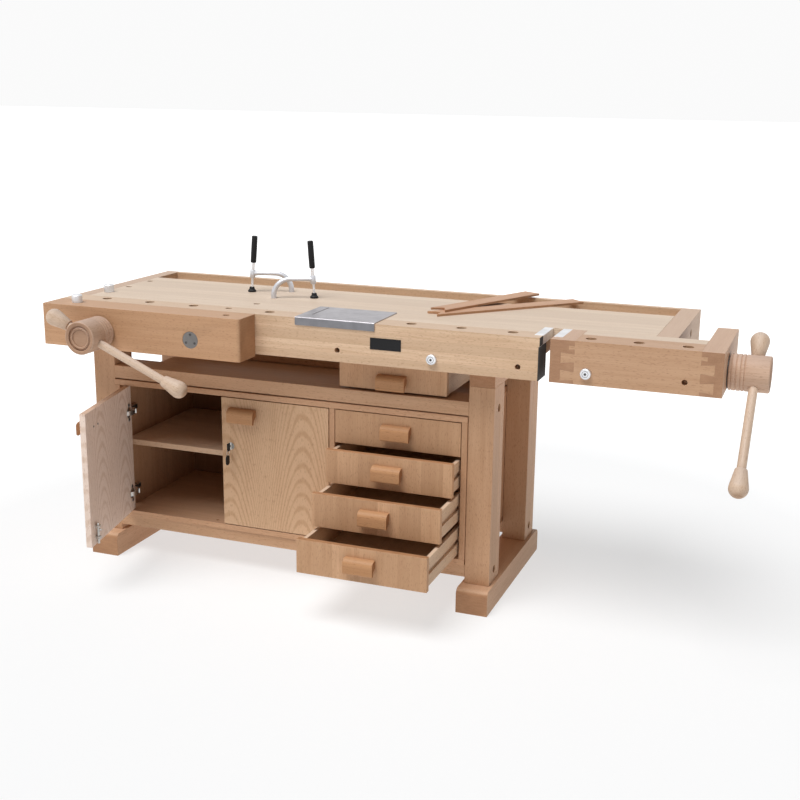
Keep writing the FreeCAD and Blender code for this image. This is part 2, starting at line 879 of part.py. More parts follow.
def make_front_jaw():
    profile = [
        (0, 0),
        (jaw_length - jaw_corner_radius, 0, jaw_corner_radius),
        (jaw_length, jaw_corner_radius),
        (jaw_length, jaw_thickness),
        (0, jaw_thickness),
    ]
    blank = place(slab_of("jaw_blank", "xy", profile, jaw_height), 0, jaw_front, bench_height - jaw_height)
    through = jaw_thickness + 2
    recess = collar_width + 2
    cutters = [
        rod("screw_bore", "y", vise_screw_radius + clearance, through, front_screw_x, jaw_front - 1, screw_z),
        rod("collar_recess", "y", collar_radius + 1, recess + 1, front_screw_x, jaw_back - recess, screw_z),
        rod("guide_seat", "y", guide_rod_radius, through, guide_rod_x, jaw_front - 1, screw_z),
        rod("disc_seat", "y", guide_disc_radius, 6, guide_rod_x, jaw_front - 1, screw_z),
        down_hole("jaw_dog_hole", small_hole_radius, jaw_dog_x, 0 - dog_row),
        down_hole("jaw_free_hole", small_hole_radius, jaw_hole_x, 0 - dog_row),
    ]
    node("front_jaw", cut("jaw", blank, *cutters))


def make_front_steel():
    shaft = rod("guide_shaft", "y", guide_rod_radius, front_rod_length, guide_rod_x, jaw_front + 1, screw_z)
    disc = rod("guide_disc", "y", guide_disc_radius, 4, guide_rod_x, jaw_front + 1, screw_z)
    flange = place(make_flange("front_flange"), front_screw_x, jaw_front, screw_z, (1, 0, 0), 90)
    node("front_guide_rod", group("front_jaw_steel", joined_up("guide", shaft, disc), flange))

    collar = flange_thickness + jaw_thickness - collar_width - 1
    screw = make_screw("front", collar, front_rod_length)
    node("front_screw", place(screw, front_screw_x, front_hub_y, screw_z, (-1, 0, 0), 90))


def make_front_turnings():
    hub = make_hub("front_wood_hub", front_handle_tilt)
    node("front_hub", place(hub, front_screw_x, front_hub_y, screw_z, (1, 0, 0), 90))
    handle = make_handle("front_wood_handle")
    middle = jaw_front - handle_reach
    node("front_handle", place(handle, front_screw_x, middle, screw_z, (0, -1, 0), 90 - front_handle_tilt))


def make_front_nut():
    sleeve = rod("nut_sleeve", "y", nut_radius, apron_thickness, front_screw_x, 0, screw_z)
    plate = block(
        "nut_plate",
        front_screw_x - nut_plate_width / 2,
        apron_thickness,
        screw_z - nut_plate_width / 2,
        nut_plate_width,
        nut_plate_thickness,
        nut_plate_width / 2 + screw_drop - slab_thickness,
    )
    bore = rod(
        "nut_bore",
        "y",
        vise_screw_radius + running,
        apron_thickness + nut_plate_thickness + 2,
        front_screw_x,
        -1,
        screw_z,
    )
    node("front_vise_nut", cut("front_nut", joined_up("front_nut_blank", sleeve, plate), bore))


def make_front_bush():
    sleeve = rod("bush_sleeve", "y", bush_radius, apron_thickness, guide_rod_x, 0, screw_z)
    wood = block(
        "bush_block",
        guide_rod_x - bush_radius * 1.5,
        apron_thickness,
        screw_z - bush_radius - 6,
        bush_radius * 3,
        bush_block_depth,
        bush_radius + 6 + screw_drop - slab_thickness,
    )
    bore = rod(
        "bush_bore",
        "y",
        guide_rod_radius + running,
        apron_thickness + bush_block_depth + 2,
        guide_rod_x,
        -1,
        screw_z,
    )
    node("front_guide_bush", cut("front_bush", joined_up("front_bush_blank", sleeve, wood), bore))


make_front_jaw()
make_front_steel()
make_front_turnings()
make_front_nut()
make_front_bush()

# ---- The tail vise ------------------------------------------------------------------------------
# An L-shaped vise: a thick front board joined to a jaw block and an end block with dovetails whose
# outer ends are lapped. A top board covers the screw, and the arm of the end block reaches back
# round the bench's right end to a square guide bar.

tail_main_x = tail_x + jaw_block_length
tail_main_length = end_block_x - tail_main_x
tail_end_x = tail_x + tail_length
tail_hub_x = tail_end_x + flange_thickness + clearance
tail_screw_length = tail_hub_x - tail_main_x - tail_screw_end_gap
tail_nut_x = tail_main_x + tail_nut_setback
tail_nut_bottom = screw_z - tail_nut_drop
guide_rail_x = apron_length + guide_rail_start
guide_rail_length = tail_main_x + guide_rail_end - guide_rail_x
guide_rail_z = slab_bottom + guide_rail_rise


def make_tail(name, root, reach, low, height, flare):
    """One dovetail: it leaves its root and widens by the flare on both sides."""
    corners = [
        (root, low),
        (root + reach, low - flare),
        (root + reach, low + height + flare),
        (root, low + height),
    ]
    if as_size(reach).number < 0:
        corners = [corners[1], corners[0], corners[3], corners[2]]
    return place(slab_of(name, "xz", corners, tail_front_thickness), 0, 0, 0)


def make_dovetails(side, root, long_reach, short_reach):
    rows = (
        ("low", low_dovetail_rise, dovetail_height, long_reach, dovetail_flare),
        ("high", high_dovetail_rise, dovetail_height, long_reach, dovetail_flare),
        ("short", short_dovetail_rise, short_dovetail_height, short_reach, dovetail_flare / 2),
    )
    return [
        make_tail(f"{side}_{row}_tail", root, reach, tail_bottom + rise, height, flare)
        for row, rise, height, reach, flare in rows
    ]


def make_tail_wood():
    blank = block(
        "front_board_blank", tail_main_x, 0, tail_bottom, tail_main_length, tail_front_thickness, tail_height
    )
    left_tails = make_dovetails("left", tail_main_x, jaw_block_lap - jaw_block_length, 0 - short_tail_reach)
    right_tails = make_dovetails("right", end_block_x, end_block_length - end_block_lap, short_tail_reach)
    whole = joined_up("front_board_with_tails", blank, *left_tails, *right_tails)
    cutters = [side_hole("left_tail_peg_hole", tail_x + tail_dog_start)]
    cutters.append(side_hole("right_tail_peg_hole", tail_x + tail_dog_start + tail_dog_pitch * 2 + 2))
    for place_in_row in range(3):
        where = tail_x + tail_dog_start + place_in_row * tail_dog_pitch
        cutters.append(down_hole("tail_dog_hole", dog_hole_radius, where, dog_row - 2))
    node("tail_front_board", cut("front_board", whole, *cutters))

    jaw = block("jaw_block_blank", tail_x, 0, tail_bottom, jaw_block_length, tail_back, tail_height)
    bar = tail_bar("tail_bar_seat", 1)
    groove = block(
        "guide_groove",
        tail_x - 1,
        notch_depth - guide_rail_depth - clearance * 2,
        guide_rail_z - clearance * 2,
        jaw_block_length + 2,
        guide_rail_depth + 2,
        guide_rail_height + clearance * 4,
    )
    node("tail_jaw_block", cut("jaw_block", jaw, group("left_sockets", *left_tails), bar, groove))
    node("tail_jaw_bar", tail_bar("tail_bar", 0))

    end = block(
        "end_block_blank", end_block_x, 0, tail_bottom, end_block_length, end_block_reach, tail_height
    )
    way = rod(
        "end_screw_way",
        "x",
        vise_screw_radius + clearance,
        end_block_length + 2,
        end_block_x - 1,
        tail_screw_y,
        screw_z,
    )
    mortise = guide_bar("guide_mortise")
    node("tail_end_block", cut("end_block", end, group("right_sockets", *right_tails), way, mortise))
    node(
        "tail_top_board",
        block(
            "top_board",
            tail_main_x,
            tail_front_thickness,
            bench_height - tail_cover_thickness,
            tail_main_length,
            tail_back - tail_front_thickness,
            tail_cover_thickness,
        ),
    )


def tail_bar(name, over):
    """The steel bar let into the jaw block's top corner."""
    return block(
        name,
        tail_x - over,
        jaw_bar_front,
        bench_height - jaw_bar_size,
        jaw_bar_size + over,
        tail_back - jaw_bar_front + over,
        jaw_bar_size + over,
    )


def guide_bar(name):
    start = end_block_x + guide_bar_mortise - guide_bar_length
    return block(name, start, guide_bar_y, guide_bar_z, guide_bar_length, guide_bar_size, guide_bar_size)


def make_tail_steel():
    flange = place(make_flange("tail_flange"), tail_end_x, tail_screw_y, screw_z, (0, 1, 0), 90)
    node("tail_guide_bar", group("guide_bar_and_flange", guide_bar("square_bar"), flange))

    collar = flange_thickness + end_block_length + clearance * 2
    screw = make_screw("tail", collar, tail_screw_length)
    node("tail_screw", place(screw, tail_hub_x, tail_screw_y, screw_z, (0, -1, 0), 90))
    hub = make_hub("tail_wood_hub", tail_handle_tilt)
    node("tail_hub", place(hub, tail_hub_x, tail_screw_y, screw_z, (0, 1, 0), 90))
    handle = make_handle("tail_wood_handle")
    middle = tail_end_x + handle_reach
    node("tail_handle", place(handle, middle, tail_screw_y, screw_z, (-1, 0, 0), tail_handle_tilt))


def make_tail_guides():
    height = bench_height - tail_cover_thickness - 2 - tail_nut_bottom
    nut = block(
        "tail_nut_block",
        tail_nut_x,
        tail_nut_front,
        tail_nut_bottom,
        tail_nut_length,
        notch_depth - tail_nut_front,
        height,
    )
    bore = rod(
        "tail_nut_bore",
        "x",
        vise_screw_radius + running,
        tail_nut_length + 2,
        tail_nut_x - 1,
        tail_screw_y,
        screw_z,
    )
    node("tail_vise_nut", cut("tail_nut", nut, bore))
    rail = block(
        "guide_rail",
        guide_rail_x,
        notch_depth - guide_rail_depth,
        guide_rail_z,
        guide_rail_length,
        guide_rail_depth,
        guide_rail_height,
    )
    node("tail_guide_rail", rail)


short_tail_reach = size("short_tail_reach", 16)

make_tail_wood()
make_tail_steel()
make_tail_guides()

# ---- The cabinet --------------------------------------------------------------------------------
# A case of beech board stands on the lower stretchers between the trestles: a wide bay with one
# shelf behind two doors, and a bay with four drawers.

cabinet_x = between_legs_x + cabinet_side_gap
cabinet_width = between_legs - cabinet_side_gap * 2
cabinet_front = leg_front - cabinet_proud
cabinet_depth = back_leg_front + cabinet_overlap - cabinet_front
cabinet_bottom = lower_stretcher_z + lower_stretcher_height
cabinet_height = upper_stretcher_z - cabinet_bottom - cabinet_headroom
floor_z = cabinet_bottom + board
bay_height = cabinet_height - board * 2
right_side_x = cabinet_x + cabinet_width - board
divider_x = right_side_x - bay_width - board
inner_left = cabinet_x + board
back_panel_y = cabinet_front + cabinet_depth - back_panel_setback - back_panel_thickness
shelf_z = cabinet_bottom + board + shelf_height
drawer_depth = back_panel_y - cabinet_front - board - drawer_room_behind
runner_start = cabinet_front + size("runner_setback", 21)
runner_length = back_panel_y - runner_room_behind - runner_start
top_drawer_x = right_leg_x - top_drawer_inset - top_drawer_width
top_drawer_depth = well_front - top_drawer_room_behind - top_drawer_front
top_runner_drop = slab_bottom - top_drawer_z - top_drawer_height + top_tongue_drop
door_height = bay_height - front_gap * 2
door_width = (divider_x - inner_left - front_gap * 3) / 2
door_z = floor_z + front_gap
pivot_y = cabinet_front - 0.5
left_pivot_x = inner_left + front_gap + pivot_inset
right_pivot_x = divider_x - front_gap - pivot_inset
hinge_rows = (door_z + hinge_height, door_z + door_height - hinge_height - 25)


def make_case():
    left = block("left_side", cabinet_x, cabinet_front, floor_z, board, cabinet_depth, bay_height)
    right = block("right_side", right_side_x, cabinet_front, floor_z, board, cabinet_depth, bay_height)
    divider = block(
        "divider", divider_x, cabinet_front, floor_z, board, back_panel_y - cabinet_front, bay_height
    )
    node("cabinet_uprights", group("uprights", left, right, divider))
    panels = []
    for name, z in (("case_bottom", cabinet_bottom), ("case_top", floor_z + bay_height)):
        panels.append(block(name, cabinet_x, cabinet_front, z, cabinet_width, cabinet_depth, board))
    bolt_hole = rod(
        "bolt_hole", "z", bolt_rod_radius + 1, board + 2, door_bolt_x, door_bolt_y, cabinet_bottom - 1
    )
    node("cabinet_top_and_bottom", cut("case_panels", group("both_panels", *panels), bolt_hole))
    back = block(
        "back_blank",
        inner_left,
        back_panel_y,
        floor_z,
        right_side_x - inner_left,
        back_panel_thickness,
        bay_height,
    )
    node("cabinet_back", back)
    shelf = block(
        "shelf_board",
        inner_left + 0.5,
        cabinet_front + shelf_setback,
        shelf_z,
        divider_x - inner_left - 1,
        back_panel_y - cabinet_front - shelf_setback - 5,
        board,
    )
    node("cabinet_shelf", shelf)


def ring_part(name, inner, outer, first, last, hand):
    """A curved bar about an upright axis. The angles count from the free edge of a door."""
    start, end = (first, last) if hand > 0 else (180 - last, 180 - first)
    corners = [
        (outer * cosine(start), outer * sine(start), outer),
        (outer * cosine(end), outer * sine(end)),
        (inner * cosine(end), inner * sine(end), 0 - inner),
        (inner * cosine(start), inner * sine(start)),
    ]
    return slab_of(name, "xy", corners, hinge_bar_height)


def make_fittings():
    """Hinge arms on both sides of the wide bay, and the pins that carry the shelf."""
    pieces = []
    reach = horn_radius + clearance
    for z in hinge_rows:
        for side, pivot_x, hand, arm_x in (
            ("left", left_pivot_x, 1, inner_left),
            ("right", right_pivot_x, -1, divider_x - hinge_arm_height),
        ):
            low = z - hinge_bar_height / 2
            hook = ring_part(side + "_hook", reach, reach + hook_thickness, hook_start, hook_end, hand)
            place(hook, pivot_x, pivot_y, low)
            arm_y = pivot_y + reach + 0.7
            long = hinge_arm_length
            arm = block(side + "_arm", arm_x, arm_y, low, hinge_arm_height, long, hinge_bar_height)
            pieces.append(joined_up(side + "_hinge_arm", hook, arm))
    for y in (cabinet_front + shelf_setback + 60, back_panel_y - 70):
        pieces.append(rod("left_pin", "x", pin_radius, pin_length, inner_left, y, shelf_z - pin_radius))
        pin_x = divider_x - pin_length
        pieces.append(rod("right_pin", "x", pin_radius, pin_length, pin_x, y, shelf_z - pin_radius))
    node("cabinet_fittings", group("arms_and_pins", *pieces))


def make_runners():
    """Runners screwed to the drawer bay's sides, and the hangers of the drawer under the top."""
    pieces = []
    width = drawer_side_gap + runner_bite
    for row in range(4):
        z = drawer_rows(row) + drawer_front_height / 2 - runner_height / 2
        for side, x in (("left", divider_x + board), ("right", right_side_x - width)):
            pieces.append(block(side + "_runner", x, runner_start, z, width, runner_length, runner_height))
    start = top_drawer_front + board + 3
    length = top_drawer_depth - board - 6
    low = slab_bottom - top_runner_drop
    for side, x, tongue_x in (
        ("left", top_drawer_x - 1 - top_runner_width, top_drawer_x - 1),
        ("right", top_drawer_x + top_drawer_width + 1, top_drawer_x + top_drawer_width + 1 - runner_bite),
    ):
        web = block(side + "_hanger", x, start, low, top_runner_width, length, top_runner_drop)
        tongue = block(side + "_tongue", tongue_x, start, low, runner_bite, length, top_tongue)
        pieces.append(joined_up(side + "_top_runner", web, tongue))
    node("drawer_runners", group("all_runners", *pieces))


horn_radius = size("horn_radius", 35)
horn_thickness = size("horn_thickness", 5)
horn_start = size("horn_start", 36)
horn_end = size("horn_end", 113.2)
hook_thickness = size("hook_thickness", 3.7)
hook_start = size("hook_start", 34.13)
hook_end = size("hook_end", 105)
hinge_bar_height = size("hinge_bar_height", 15)
drawer_front_height = (bay_height - front_gap * 5) / 4
bolt_rod_radius = size("bolt_rod_radius", 4)
bolt_inset = size("bolt_inset", 36)
bolt_standoff = size("bolt_standoff", 7)
hinge_arm_height = size("hinge_arm_height", 13)
hinge_arm_length = size("hinge_arm_length", 46)
pin_radius = size("pin_radius", 2.5)
pin_length = size("pin_length", 14)
door_bolt_x = left_pivot_x - pivot_inset + door_width - bolt_inset
door_bolt_y = pivot_y + 0.5 + door_thickness + bolt_standoff


def drawer_rows(row):
    """The height of a drawer front's lower edge, counted from the bottom drawer."""
    return floor_z + front_gap + row * (drawer_front_height + front_gap)


make_case()
make_fittings()
make_runners()

# ---- Doors --------------------------------------------------------------------------------------
# Two inset doors on cup hinges. The left one stands open and is built round its pivot, then turned.


def make_pull(name, where, x, y, z):
    """A rounded wooden pull, hollowed from below for the fingers."""
    depth = pull_depth
    profile = [
        (0 - depth, 3),
        (3 - depth, 0),
        (8 - depth, 0, -22),
        (-2, 22),
        (0, 22),
        (0, pull_height),
        (18 - depth, pull_height, 18),
        (0 - depth, pull_height - 18),
    ]
    return where(slab_of(name, "yz", profile, pull_width), x, y, z)


def make_door(side, hand):
    """A door about its pivot. The hand is 1 where the free edge is on the right, else -1."""

    def across(start, length):
        """The left end of a stretch that starts at a distance from the pivot toward the free edge."""
        return start if hand > 0 else 0 - start - length

    face = as_size(0.5)
    back = face + door_thickness
    panel_x = across(0 - pivot_inset, door_width)
    panel = block(side + "_panel", panel_x, face, door_z, door_width, door_thickness, door_height, put)
    hinges = []
    for z in hinge_rows:
        cup_x = across(cup_inset - pivot_inset, as_size(0))
        cup = rod(side + "_cup", "y", cup_radius, cup_depth, cup_x, back - cup_depth, z, put)
        inner = horn_radius - horn_thickness
        horn = ring_part(side + "_horn", inner, horn_radius, horn_start, horn_end, hand)
        put(horn, 0, 0, z - hinge_bar_height / 2)
        hinges.append(joined_up(side + "_hinge", cup, horn))
    pull_x = across(door_width - pivot_inset - pull_inset - pull_width, pull_width)
    pull = make_pull(side + "_door_pull", put, pull_x, face, door_z + door_height - 77)
    return panel, pull, hinges, across


def make_left_door():
    panel, pull, hinges, across = make_door("left", 1)
    door = group("left_door_wood", cut("left_cupped_panel", panel, *hinges), pull)
    bolt_x = door_width - pivot_inset - bolt_inset
    saddles = []
    for z in (door_z + 19, door_z + 55):
        saddle = block("saddle", bolt_x - 7, 0.5 + door_thickness, z, 14, 14, 8, put)
        bore = rod("saddle_bore", "z", bolt_rod_radius + running, 10, bolt_x, bolt_y_local, z - 1, put)
        saddles.append(cut("bored_saddle", saddle, bore))
    sliding = rod("bolt_rod", "z", bolt_rod_radius, 68, bolt_x, bolt_y_local, door_z + 3, put)
    button = rod("bolt_button", "y", 3, 12, bolt_x, bolt_y_local, door_z + 48, put)
    finished = (
        ("left_door", door),
        ("left_door_fittings", group("left_metal", *hinges, *saddles)),
        ("left_door_bolt", joined_up("left_sliding_bolt", sliding, button)),
    )
    for name, piece in finished:
        turned_piece = group(name + "_stood_open", piece)
        node(name, place(turned_piece, left_pivot_x, pivot_y, 0, (0, 0, -1), left_door_open))


def make_right_door():
    panel, pull, hinges, across = make_door("right", -1)
    lock_x = across(door_width - pivot_inset - lock_inset, as_size(0))
    lock_z = door_z + door_height - lock_drop
    barrel = rod("lock_barrel", "y", 9, door_thickness + 8, lock_x, 0.5, lock_z, put)
    rim = rod("lock_rim", "y", 12, 1.5, lock_x, -1, lock_z, put)
    keyway = rod("keyway", "y", 3 + running, 18, lock_x, -2, lock_z, put)
    lock = cut("lock", joined_up("lock_body", barrel, rim), keyway)
    wood = group("right_door_wood", cut("right_cupped_panel", panel, *hinges, barrel), pull)
    shank = rod("key_shank", "y", 3, 22, lock_x, -8, lock_z, put)
    bow = block("key_bow", lock_x - 11, -24, lock_z - 13, 22, 17, 26, put)
    trim = block("key_trim", lock_x - 12, -25, lock_z - 14, 10.4, 19, 28, put)
    other_trim = block("other_key_trim", lock_x + 1.6, -25, lock_z - 14, 10.4, 19, 28, put)
    key = joined_up("key", shank, cut("flat_bow", bow, trim, other_trim))
    finished = (
        ("right_door", wood),
        ("right_door_fittings", group("right_metal", *hinges, lock)),
        ("door_key", key),
    )
    for name, piece in finished:
        node(name, place(group(name + "_hung", piece), right_pivot_x, pivot_y, 0))


bolt_y_local = 0.5 + door_thickness + bolt_standoff

make_left_door()
make_right_door()

# ---- Drawers ------------------------------------------------------------------------------------
# Each drawer has a front with a pull, two grooved sides that ride on the runners, a back and a
# bottom let into the sides. Three of the four in the cabinet stand open.


def make_drawer(
    name, x, front, z, width, height, depth, low, tall, gap, groove_z, groove_height, pull_z
):
    """Low and tall give the box's lower edge above the front's, and its height."""
    face = block(name + "_face", x - gap, front, z, width + gap * 2, board, height)
    box_y = front + board
    box_z = z + low
    bottom_z = box_z + 6
    inner = width - drawer_side * 2
    bottom = block(
        name + "_base", x + drawer_side - 5, box_y, bottom_z, inner + 10, depth - drawer_side, drawer_bottom
    )
    cutters = [bottom]
    for side, groove_x in (("left", x - 1), ("right", x + width - runner_bite - 1)):
        groove = f"{name}_{side}_groove"
        bite = runner_bite + 2
        cutters.append(block(groove, groove_x, box_y - 1, groove_z, bite, depth + 2, groove_height))
    sides = [
        block(f"{name}_{side}_side", side_x, box_y, box_z, drawer_side, depth, tall)
        for side, side_x in (("left", x), ("right", x + width - drawer_side))
    ]
    sides = cut(name + "_sides", group(name + "_side_blanks", *sides), *cutters)
    back_y = box_y + depth - drawer_side
    back = block(name + "_back", x + drawer_side, back_y, box_z, inner, drawer_side, tall)
    pull_x = x + width / 2 - pull_width / 2
    pull = make_pull(name + "_pull", place, pull_x, front, pull_z)
    return node(name, group(name + "_pieces", face, sides, back, bottom, pull))


def make_drawers():
    opened = (fourth_drawer_open, third_drawer_open, second_drawer_open, as_size(0))
    for row, travel in enumerate(opened):
        z = drawer_rows(row)
        groove_height = runner_height + 1
        make_drawer(
            f"drawer_{4 - row}",
            divider_x + board + drawer_side_gap,
            cabinet_front - travel,
            z,
            bay_width - drawer_side_gap * 2,
            drawer_front_height,
            drawer_depth,
            drawer_side_drop,
            drawer_front_height - drawer_side_drop * 2,
            drawer_side_gap - 2,
            z + drawer_front_height / 2 - groove_height / 2,
            groove_height,
            z + drawer_front_height / 2 - pull_height / 2,
        )
    make_drawer(
        "under_drawer",
        top_drawer_x,
        top_drawer_front,
        top_drawer_z,
        top_drawer_width,
        top_drawer_height,
        top_drawer_depth - board,
        as_size(2),
        top_drawer_height - 4,
        as_size(0),
        slab_bottom - top_runner_drop - 0.5,
        top_tongue + 1,
        top_drawer_z + 4,
    )


make_drawers()

# ---- Loose tools --------------------------------------------------------------------------------
# Dogs, holdfasts, pegs, an edge plate and two battens lie on the top or stand in its holes.


def make_dog(name, x, y):
    head = dog_head_radius
    shank = small_hole_radius - running
    profile = [
        (0, 0 - dog_shank_length),
        (shank - 1, 0 - dog_shank_length),
        (shank, 1 - dog_shank_length),
        (shank, clearance),
        (head, clearance),
        (head, dog_head_height - 2),
        (head - 2, dog_head_height),
        (0, dog_head_height),
    ]
    node(name, place(turned(name + "_turning", profile), x, y, bench_height))


def make_peg(name, x):
    head = peg_head_radius
    shank = peg_hole_radius - running
    profile = [
        (0, 0 - peg_shank_length),
        (shank, 0 - peg_shank_length),
        (shank, clearance),
        (head, clearance),
        (head, peg_head_height - 2),
        (head - 2, peg_head_height),
        (0, peg_head_height),
    ]
    peg = turned(name + "_turning", profile)
    node(name, place(peg, x, 0, bench_height - peg_hole_drop, (1, 0, 0), 90))


def make_holdfast(name, x, y, angle):
    """Built round its post, with the arm to the right, and then turned and set down."""
    height = holdfast_height
    bend = holdfast_bend
    bar = holdfast_bar_radius
    post = rod(
        name + "_post",
        "z",
        holdfast_post_radius,
        holdfast_post_depth + height - bend,
        0,
        0,
        0 - holdfast_post_depth,
        put,
    )
    elbow = doc.addObject("Part::Torus", name + "_elbow")
    bind(elbow, Radius1=bend, Radius2=bar, Angle3=90)
    put(elbow, bend, 0, height - bend, (0, 1, 1), 180)
    arm = rod(name + "_bar", "x", bar, holdfast_reach - bend, bend, 0, height, put)
    boss_low = 0 - boss_height / 2 - 2
    boss = leaned(name, rod(name + "_boss", "z", boss_radius, boss_height, 0, 0, boss_low, put))
    bore = spindle_radius + running
    way = leaned(name, rod(name + "_way", "z", bore, boss_height * 4, 0, 0, boss_height * -2, put))
    arm_piece = cut(name + "_forging", joined_up(name + "_forged", post, elbow, arm, boss), way)

    collar_z = boss_height / 2 - 2 + clearance
    thread = rod(name + "_thread", "z", spindle_radius, height + 20 - 8, 0, 0, 8 - height, put)
    collar = rod(name + "_collar", "z", 5.5, 24, 0, 0, collar_z, put)
    grip_base = collar_z + 24
    grip = turned(
        name + "_grip",
        [
            (0, 0),
            (grip_radius - 3, 0),
            (grip_radius, 8),
            (grip_radius, grip_length - 14),
            (grip_radius - 4, grip_length),
            (0, grip_length),
        ],
    )
    put(grip, 0, 0, grip_base)
    spindle = leaned(name, group(name + "_spindle_pieces", joined_up(name + "_screw", thread, collar), grip))

    foot_x = holdfast_reach + sine(spindle_lean) * (height - 12)
    shoe_blank = turned(
        name + "_shoe_turning",
        [
            (0, clearance),
            (shoe_radius, clearance),
            (shoe_radius, shoe_height - 4),
            (shoe_radius - 4, shoe_height),
            (spindle_radius + 1.5, shoe_height),
            (spindle_radius + 1.5, 7),
            (0, 7),
        ],
    )
    shoe = group(name + "_shoe_piece", put(shoe_blank, foot_x, 0, 0))
    for part_name, piece in (("arm", arm_piece), ("spindle", spindle), ("shoe", shoe)):
        node(f"{name}_{part_name}", set_down(f"{name}_{part_name}_set", piece, x, y, bench_height, angle))


def leaned(name, piece):
    """Leans a piece that was made about the spindle's axis over the boss."""
    return put(group(name + "_leaned", piece), holdfast_reach, 0, holdfast_height, (0, -1, 0), spindle_lean)


def make_plate():
    """An angle plate that hooks over the bench's front edge, with a slot for a stop."""
    low = clearance
    profile = [
        (0 - low - plate_thickness, 0 - plate_lip),
        (0 - low, 0 - plate_lip),
        (0 - low, low),
        (plate_depth, low),
        (plate_depth, low + plate_thickness),
        (0 - low, low + plate_thickness, plate_thickness),
        (0 - low - plate_thickness, low),
    ]
    blank = place(slab_of("plate_blank", "yz", profile, plate_length), plate_x, 0, bench_height)
    slot = block("plate_slot", plate_x + 32, plate_slot_start, bench_height - 1, 4, plate_slot_length, 6)
    eye = rod("plate_eye", "z", 4, 6, plate_x + 34, plate_slot_start, bench_height - 1)
    node("edge_plate", cut("slotted_plate", blank, slot, eye))


def make_batten(name, x, y, z, length, angle):
    """A thin board with a V cut into one end."""
    half = batten_width / 2
    profile = [(0, 0 - half), (length, 0 - half), (length, half), (0, half), (half, 0)]
    board_piece = slab_of(name + "_board", "xy", profile, batten_thickness)
    node(name, place(board_piece, x, y, z, (0, 0, 1), angle))


plate_slot_start = size("plate_slot_start", 56)
plate_slot_length = size("plate_slot_length", 122)
lower_batten_z = bench_height + clearance
upper_batten_z = lower_batten_z + batten_thickness + clearance

make_dog("jaw_dog", jaw_dog_x, 0 - dog_row)
make_dog("bench_dog", left_column, first_row)
make_peg("apron_peg", peg_places[1])
make_peg("tail_peg", tail_x + tail_dog_start)
make_holdfast("holdfast_a", middle_column, third_row, holdfast_turn + 180)
make_holdfast("holdfast_b", middle_column, second_row, holdfast_turn)
make_plate()
make_batten(
    "batten_lower", long_batten_x, long_batten_y, lower_batten_z, long_batten_length, long_batten_angle
)
make_batten(
    "batten_upper", short_batten_x, short_batten_y, upper_batten_z, short_batten_length, short_batten_angle
)

# ---- Check and write ----------------------------------------------------------------------------

doc.recompute()
for thing in doc.Objects:
    bad = [state for state in thing.State if state in ("Invalid", "Error")]
    if bad:
        raise RuntimeError(f"{thing.Name} did not build: {thing.State}")
os.makedirs("parts", exist_ok=True)
for piece in nodes:
    if piece.Shape.isNull() or not piece.Shape.isValid() or not piece.Shape.Solids:
        raise RuntimeError(f"{piece.Label} is not a sound solid")
    piece.Shape.exportStep(f"parts/{piece.Label}.step")
    print(piece.Label, len(piece.Shape.Solids), piece.Shape.BoundBox)
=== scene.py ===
import json
import math

import bmesh
import bpy
from mathutils import Euler, Matrix, Vector


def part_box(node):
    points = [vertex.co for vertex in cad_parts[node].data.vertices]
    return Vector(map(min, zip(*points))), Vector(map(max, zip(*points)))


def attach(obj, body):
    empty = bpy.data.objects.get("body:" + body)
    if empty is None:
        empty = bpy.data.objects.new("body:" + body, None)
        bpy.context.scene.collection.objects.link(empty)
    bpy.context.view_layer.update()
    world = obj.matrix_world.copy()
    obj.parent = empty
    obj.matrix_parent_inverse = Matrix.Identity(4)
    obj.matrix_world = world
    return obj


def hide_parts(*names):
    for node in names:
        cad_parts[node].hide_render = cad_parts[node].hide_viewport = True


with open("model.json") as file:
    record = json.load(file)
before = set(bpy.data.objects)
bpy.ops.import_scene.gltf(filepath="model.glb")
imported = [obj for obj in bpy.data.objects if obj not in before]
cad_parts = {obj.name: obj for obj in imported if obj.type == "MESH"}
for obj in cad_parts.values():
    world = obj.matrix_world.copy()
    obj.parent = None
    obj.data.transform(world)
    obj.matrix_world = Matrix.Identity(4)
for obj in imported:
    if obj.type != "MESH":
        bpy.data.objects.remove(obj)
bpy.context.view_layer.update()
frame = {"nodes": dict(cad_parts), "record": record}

# ---- The slab -----------------------------------------------------------------------------------
# Beech staves glued edge to edge, planed and oiled. Their sharp edges are eased by hand, and the
# end grain drinks more oil, so it is darker.


class Shade:
    """One value of a finish. Sums written with it add the nodes that work them out."""

    def __init__(self, finish, socket):
        self.finish = finish
        self.socket = socket

    def math(self, operation, *others):
        return self.finish.node("ShaderNodeMath", {"operation": operation}, dict(enumerate((self, *others))))

    def __add__(self, other):
        return self.math("ADD", other)

    def __sub__(self, other):
        return self.math("SUBTRACT", other)

    def __mul__(self, other):
        return self.math("MULTIPLY", other)

    def __truediv__(self, other):
        return self.math("DIVIDE", other)

    def __rsub__(self, other):
        return self * -1 + other

    __radd__ = __add__
    __rmul__ = __mul__

    def between(self, low, high):
        """0 below low and 1 above high."""
        return self.finish.node("ShaderNodeMapRange", {}, {"Value": self, "From Min": low, "From Max": high})

    def part(self, number):
        """One coordinate of a place."""
        split = self.finish.node("ShaderNodeSeparateXYZ", {}, {0: self})
        return Shade(self.finish, split.socket.node.outputs[number])


